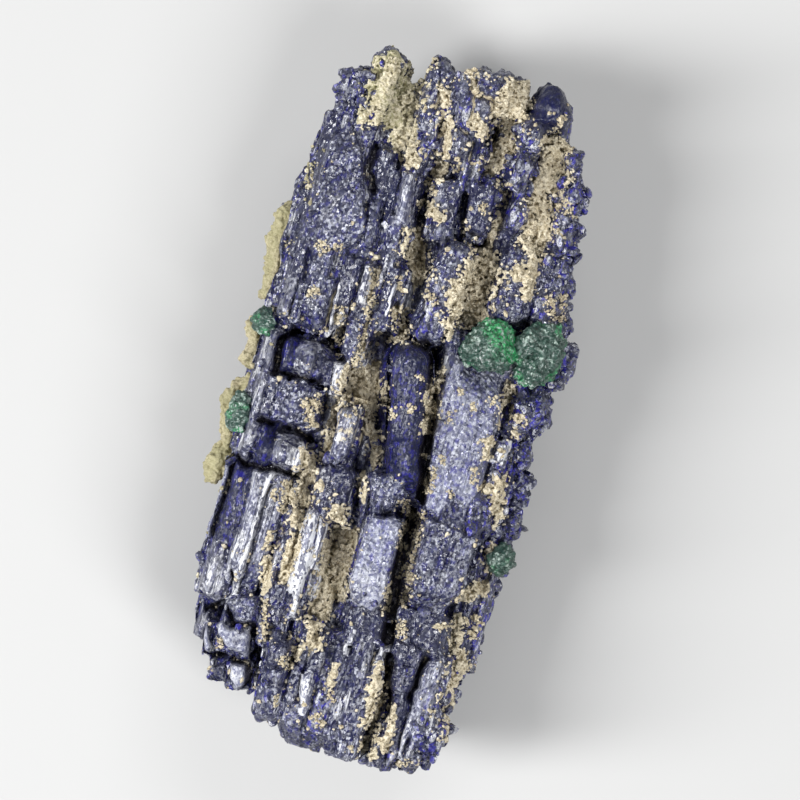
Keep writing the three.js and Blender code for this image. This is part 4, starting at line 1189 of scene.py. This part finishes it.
def malachite_material():
    """Deep to grey green with painted pale glints, and bright green where bright says so."""
    n = Nodes("malachite")
    bright = n.attribute("bright")
    fine = n.noise((5.0, 5.0, 5.0), 5.0, 0.75)
    sugar, sparkle, _, _ = n.cells((6.0, 6.0, 6.0))
    colour = n.mix(n.ramp(fine, 0.4, 0.62), GREEN_DEEP, GREEN_GREY)
    colour = n.mix(n.times(bright, n.ramp(fine, 0.4, 0.58)), colour, GREEN)
    frost_and_sheen = n.ramp(n.noise((0.9, 0.9, 0.9), 3.0), 0.5, 0.62, 0.0, 0.35)
    # Painted glints: pale specks, thicker in the frosted patches.
    pale = n.ramp(n.plus(sparkle, frost_and_sheen), 0.88, 1.15, 0.0, 0.85)
    colour = n.mix(pale, colour, GREEN_GLINT)
    normal = n.tilted(sugar, 0.7)
    return n.done(Base_Color=colour, Roughness=0.38, Normal=normal, IOR=1.75)


AZURITE_LOOK = azurite_material()
CRUST_LOOK = crust_material()
MALACHITE_LOOK = malachite_material()


# ---------------------------------------------------------------- pieces


def ball(count):
    """Points spread evenly over a sphere."""
    points = []
    for i in range(count):
        level = 1 - (2 * i + 1) / count
        turn = i * GOLDEN_TURN
        ring = math.sqrt(1 - level * level)
        points.append((ring * math.cos(turn), ring * math.sin(turn), level))
    return np.array(points)


def hull_faces(points):
    """Triangles of the convex hull of a few points."""
    faces = []
    for a, b, c in itertools.combinations(range(len(points)), 3):
        across = np.cross(points[b] - points[a], points[c] - points[a])
        side = (points - points[a]) @ across
        if np.all(side < 1e-9):
            faces.append((a, b, c))
        elif np.all(side > -1e-9):
            faces.append((a, c, b))
    return np.array(faces)


def scattered(shape, faces, centres, sizes, turns, rng, nudge):
    """Many copies of one small shape joined in one mesh: each is scaled, turned and nudged on its own."""
    count = len(centres)
    corners = len(shape)
    local = shape[None] * (1 + nudge * (rng.random((count, corners, 1)) - 0.5)) * sizes[:, None, :]
    points = np.einsum("nij,nkj->nki", turns, local) + centres[:, None, :]
    index = (faces[None] + corners * np.arange(count)[:, None, None]).reshape(-1, 3)
    mesh = bpy.data.meshes.new("scattered")
    mesh.from_pydata(points.reshape(-1, 3), [], index.tolist())
    mesh.update()
    return mesh


def random_turns(rng, count):
    """Rotation matrices of random directions."""
    axis = rng.normal(size=(count, 4))
    axis /= np.linalg.norm(axis, axis=1)[:, None]
    w, x, y, z = axis.T
    rows = [
        [1 - 2 * (y * y + z * z), 2 * (x * y - z * w), 2 * (x * z + y * w)],
        [2 * (x * y + z * w), 1 - 2 * (x * x + z * z), 2 * (y * z - x * w)],
        [2 * (x * z - y * w), 2 * (y * z + x * w), 1 - 2 * (x * x + y * y)],
    ]
    return np.array(rows).transpose(2, 0, 1)


def tree_of(mesh):
    """A search tree over a mesh."""
    corners = positions(mesh).tolist()
    faces = [tuple(p.vertices) for p in mesh.polygons]
    return BVHTree.FromPolygons(corners, faces)


def ground(tree, x, y):
    """Height of the crystal under a point of the display face, or None off its edge."""
    hit = tree.ray_cast(Vector((x, y, 30)), Vector((0, 0, -1)))[0]
    return None if hit is None or hit.z < 6 else hit.z


def heap(tree, rows, rng, reach):
    """Centres and radii of the grains that make up some seams of crust."""
    spots = []
    for x0, y0, x1, y1, width, thick in rows:
        width *= 1.25
        length = math.hypot(x1 - x0, y1 - y0)
        count = int((length + width) * (width + 0.2) / GRAIN_PITCH**2 * (1 + thick))
        for _ in range(count):
            t = rng.uniform(-0.5 * width / length, 1 + 0.5 * width / length) if length > 0 else 0.5
            side = rng.normal(0, 0.42) * width
            out = side / length
            x = x0 + (x1 - x0) * t - (y1 - y0) * out
            y = y0 + (y1 - y0) * t + (x1 - x0) * out
            size = reach * (0.55 + 0.9 * rng.random() ** 2)
            lift = thick * rng.random() * max(0.0, 1 - abs(side) / width)
            level = ground(tree, x, y)
            if level is not None:
                spots.append((x, y, level + lift + 0.3 * size, size))
    return np.array(spots)


def prism():
    """Corners and triangles of a six-sided crystal along y, bevelled at its ends."""
    corners = []
    for level, reach in ((-1.0, 0.5), (-0.6, 1.0), (0.6, 1.0), (1.0, 0.5)):
        for k in range(6):
            turn = k * math.pi / 3
            corners.append((reach * math.cos(turn), level, 0.6 * reach * math.sin(turn)))
    faces = []
    for ring, k in itertools.product((0, 6, 12), range(6)):
        a, b = ring + k, ring + (k + 1) % 6
        faces += [(a, a + 6, b), (b, a + 6, b + 6)]
    for k in range(1, 5):
        faces += [(0, k, k + 1), (18, 19 + k, 18 + k)]
    return np.array(corners), np.array(faces)


# Small shapes: their corners and triangles.
PEBBLE = ball(14), hull_faces(ball(14))
CRUMB = ball(10), hull_faces(ball(10))
PRISM = prism()


def crust_mass(node, tree, rng):
    """One mass of crust: its grains, run together."""
    spots = heap(tree, MASSES[node], rng, MASS_GRAIN)
    count = len(spots)
    sizes = spots[:, 3:4] * (0.8 + 0.4 * rng.random((count, 3)))
    grains = scattered(*PEBBLE, spots[:, :3], sizes, random_turns(rng, count), rng, 0.3)
    crumble(merged(grains, MASS_VOXEL), node, 0.5, 1.0)


def crumble(mesh, node, least, most):
    """Makes a crust's piece from its mesh, with pores, and a tone from least to most grain by grain."""
    mesh = thinned(mesh, GRAIN_SHARE * triangles(mesh))
    points = positions(mesh)
    grain, _, tone = cellular(points * 3.4, 137)
    place(mesh, points + normals(mesh) * (0.05 * (0.5 - grain) + 0.035 * noise(points * 6, 139))[:, None])
    store(mesh, "tone", least + (most - least) * tone)
    store(mesh, "olive", olive(points))
    finished(mesh, node + "_grains", CRUST_LOOK, [node])


def crust_edge(node, rng):
    """A crust node on the specimen's flank: its own surface, made granular."""
    mesh = remeshed(node, EDGE_VOXEL)
    points = positions(mesh)
    lump, _, _ = cellular(points * 0.7, 131)
    fray = np.stack([noise(points * 1.1, 141 + 5 * k) for k in range(3)], axis=1)
    place(mesh, points + normals(mesh) * (0.9 * (0.45 - lump))[:, None] + 0.45 * fray)
    crumble(studded(mesh, PEBBLE, 0.17, 0.08, 0.26, np.ones(len(points)), rng), node, 0.0, 0.5)


def studded(mesh, shape, pitch, least, most, weight, rng):
    """The mesh with small shapes set all over it, thickest where weight is greatest, and run together."""
    points, facing = positions(mesh), normals(mesh)
    areas = np.empty(len(mesh.polygons))
    mesh.polygons.foreach_get("area", areas)
    count = int(areas.sum() / pitch**2)
    chosen = rng.choice(len(points), count, p=weight / weight.sum())
    reach = least + (most - least) * rng.random(count) ** 2
    centres = points[chosen] + facing[chosen] * (0.15 * reach)[:, None]
    sizes = reach[:, None] * (0.7 + 0.5 * rng.random((count, 3)))
    bits = scattered(*shape, centres, sizes, random_turns(rng, count), rng, 0.2)
    joined = bmesh.new()
    joined.from_mesh(mesh)
    joined.from_mesh(bits)
    joined.to_mesh(mesh)
    joined.free()
    bpy.data.meshes.remove(bits)
    return merged(mesh, STUD_VOXEL)


def malachite(node, rng):
    """One malachite: its own surface, made lumpy and studded with small crystals."""
    mesh = remeshed(node, MALACHITE_VOXEL)
    points = positions(mesh)
    middle = points.mean(axis=0)
    bumpy = 1.1 if "blocky" in node else 0.5
    lump, _, _ = cellular(points * 0.7, 151)
    place(mesh, points + normals(mesh) * (bumpy * (0.5 - lump) + 0.3 * noise(points * 0.8, 155))[:, None])
    weight = np.full(len(points), 1.0)
    if "round" in node:
        weight = 0.12 + smooth((points - middle) @ GREEN_SIDE, 0.0, 1.0)
    mesh = studded(mesh, PRISM, 0.22, 0.12, 0.34, weight, rng)
    mesh = thinned(mesh, DRUSE_SHARE * triangles(mesh))
    points = positions(mesh)
    bright = 0.8 * smooth(noise(points * 1.1, 149), 0.05, 0.5)
    if "round" in node:
        greener = (points - middle) @ GREEN_SIDE + 0.5 * noise(points * 1.3, 149)
        bright = np.maximum(0.3 * bright, smooth(greener, 0.3, 1.0))
    store(mesh, "bright", bright)
    finished(mesh, node + "_druse", MALACHITE_LOOK, [node])


def loose_crust(tree, points, facing, hollow, cover, rng):
    """Loose grains and dabs of crust all over the crystal, thickest near the masses and in the hollows."""
    spots = heap(tree, DABS, rng, DAB_GRAIN)
    weight = 0.05 + 0.8 * cover + 0.7 * smooth(hollow, 0.05, 0.4)
    patchy = smooth(layered(points * 0.8, 171), -0.1, 0.35) ** 2
    weight *= patchy * (0.3 + 0.7 * smooth(points[:, 2], 3.0, 9.0))
    weight *= smooth(points[:, 2], 0.3, 1.0)
    chosen = rng.choice(len(points), GRAIN_COUNT, replace=False, p=weight / weight.sum())
    sizes = 0.055 + 0.16 * rng.random(GRAIN_COUNT) ** 3
    centres = np.concatenate([spots[:, :3], points[chosen] + facing[chosen] * sizes[:, None] * 0.3])
    sizes = np.concatenate([spots[:, 3], sizes])
    count = len(centres)
    sizes = sizes[:, None] * (0.7 + 0.6 * rng.random((count, 3)))
    mesh = scattered(*CRUMB, centres, sizes, random_turns(rng, count), rng, 0.6)
    store(mesh, "tone", np.repeat(rng.random(count), len(CRUMB[0])))
    store(mesh, "olive", olive(positions(mesh)))
    finished(mesh, "crust_loose_grains", CRUST_LOOK)


def small_crystals(points, facing, drusy, rng):
    """Blocky azurite crystals: small ones set in the drusy zones, and the larger ones of KNOBS."""
    weight = (0.03 + drusy) * smooth(points[:, 2], 0.4, 1.5)
    chosen = rng.choice(len(points), DRUSE_COUNT, replace=False, p=weight / weight.sum())
    scale = 0.12 + 0.42 * rng.random(DRUSE_COUNT) ** 3
    high = np.nonzero(points[:, 2] > 7)[0]
    for x, y, size in KNOBS:
        nearest = np.hypot(points[high, 0] - x, points[high, 1] - y).argmin()
        chosen = np.append(chosen, high[nearest])
        scale = np.append(scale, size)
    count = len(chosen)
    sizes = scale[:, None] * (0.8 + 0.5 * rng.random((count, 3)))
    # The larger ones are sunk in by a third of their size.
    lift = np.where(np.arange(count) < DRUSE_COUNT, 0.05, -0.35 * scale)
    centres = points[chosen] + facing[chosen] * lift[:, None]
    mesh = scattered(*PRISM, centres, sizes, random_turns(rng, count), rng, 0.1)
    corners = len(PRISM[0])
    store(mesh, "frost_and_sheen", np.repeat(0.2 + 0.5 * rng.random(count), corners))
    store(mesh, "blue", np.repeat(0.3 + 0.7 * rng.random(count), corners))
    store(mesh, "gloss", np.full(count * corners, 0.8))
    store(mesh, "dark", np.repeat(0.7 * rng.random(count), corners))
    for name in ("dust", "gap", "lined", "painted_highlight", "olive"):
        store(mesh, name, np.zeros(count * corners))
    finished(mesh, "azurite_small_crystals", AZURITE_LOOK)


rng = np.random.default_rng(7)
whole, surface, outward, hollows, covered, druse = crystal()
surface_tree = tree_of(whole)
for name in MALACHITE:
    malachite(name, rng)
for name in CRUSTS:
    if name in MASSES:
        crust_mass(name, surface_tree, rng)
    else:
        crust_edge(name, rng)
loose_crust(surface_tree, surface, outward, hollows, covered, rng)
small_crystals(surface, outward, druse, rng)
bpy.data.meshes.remove(whole)


# ---------------------------------------------------------------- studio

# In metres. The camera looks straight down, turned so that the specimen leans as it does in the photo.
FLOOR_REACH = 1.5
LENS = 193
LEAN = math.radians(15.5)
CAMERA_AT = (0.00033, 0.00063, 0.312)


def studio_floor():
    mesh = bpy.data.meshes.new("floor")
    corners = [(x * FLOOR_REACH, y * FLOOR_REACH, 0) for x, y in ((-1, -1), (1, -1), (1, 1), (-1, 1))]
    mesh.from_pydata(corners, [], [(0, 1, 2, 3)])
    n = Nodes("floor")
    mesh.materials.append(n.done(Base_Color=(0.52, 0.52, 0.515), Roughness=0.85))
    floor = bpy.data.objects.new("floor", mesh)
    bpy.context.scene.collection.objects.link(floor)


def area_light(name, place_at, size, power):
    """A soft light aimed at the specimen."""
    light = bpy.data.lights.new(name, "AREA")
    light.shape = "RECTANGLE"
    light.size, light.size_y = size
    light.energy = power
    obj = bpy.data.objects.new(name, light)
    obj.location = place_at
    obj.rotation_mode = "QUATERNION"
    obj.rotation_quaternion = (-Vector(place_at)).to_track_quat("-Z", "Y")
    bpy.context.scene.collection.objects.link(obj)


def camera():
    data = bpy.data.cameras.new("camera")
    data.lens = LENS
    data.clip_start, data.clip_end = 0.01, 10
    obj = bpy.data.objects.new("camera", data)
    right = Vector((math.cos(LEAN), math.sin(LEAN), 0))
    up = Vector((-math.sin(LEAN), math.cos(LEAN), 0))
    back = Vector((0, 0, 1))
    turn = Matrix((right, up, back)).transposed().to_4x4()
    obj.matrix_world = Matrix.Translation(CAMERA_AT) @ turn
    bpy.context.scene.collection.objects.link(obj)
    bpy.context.scene.camera = obj


studio_floor()
area_light("key", (-0.30, -0.12, 0.30), (0.10, 0.30), 2.5)
area_light("fill", (0.24, -0.14, 0.34), (0.12, 0.24), 1.3)
area_light("top", (0.02, 0.30, 0.32), (0.26, 0.12), 0.55)
camera()

world = bpy.data.worlds.new("studio")
bpy.context.scene.world = world
world.use_nodes = True
world.node_tree.nodes["Background"].inputs["Color"].default_value = (0.9, 0.93, 1.0, 1.0)
world.node_tree.nodes["Background"].inputs["Strength"].default_value = 0.14
bpy.context.scene.view_settings.view_transform = "Standard"
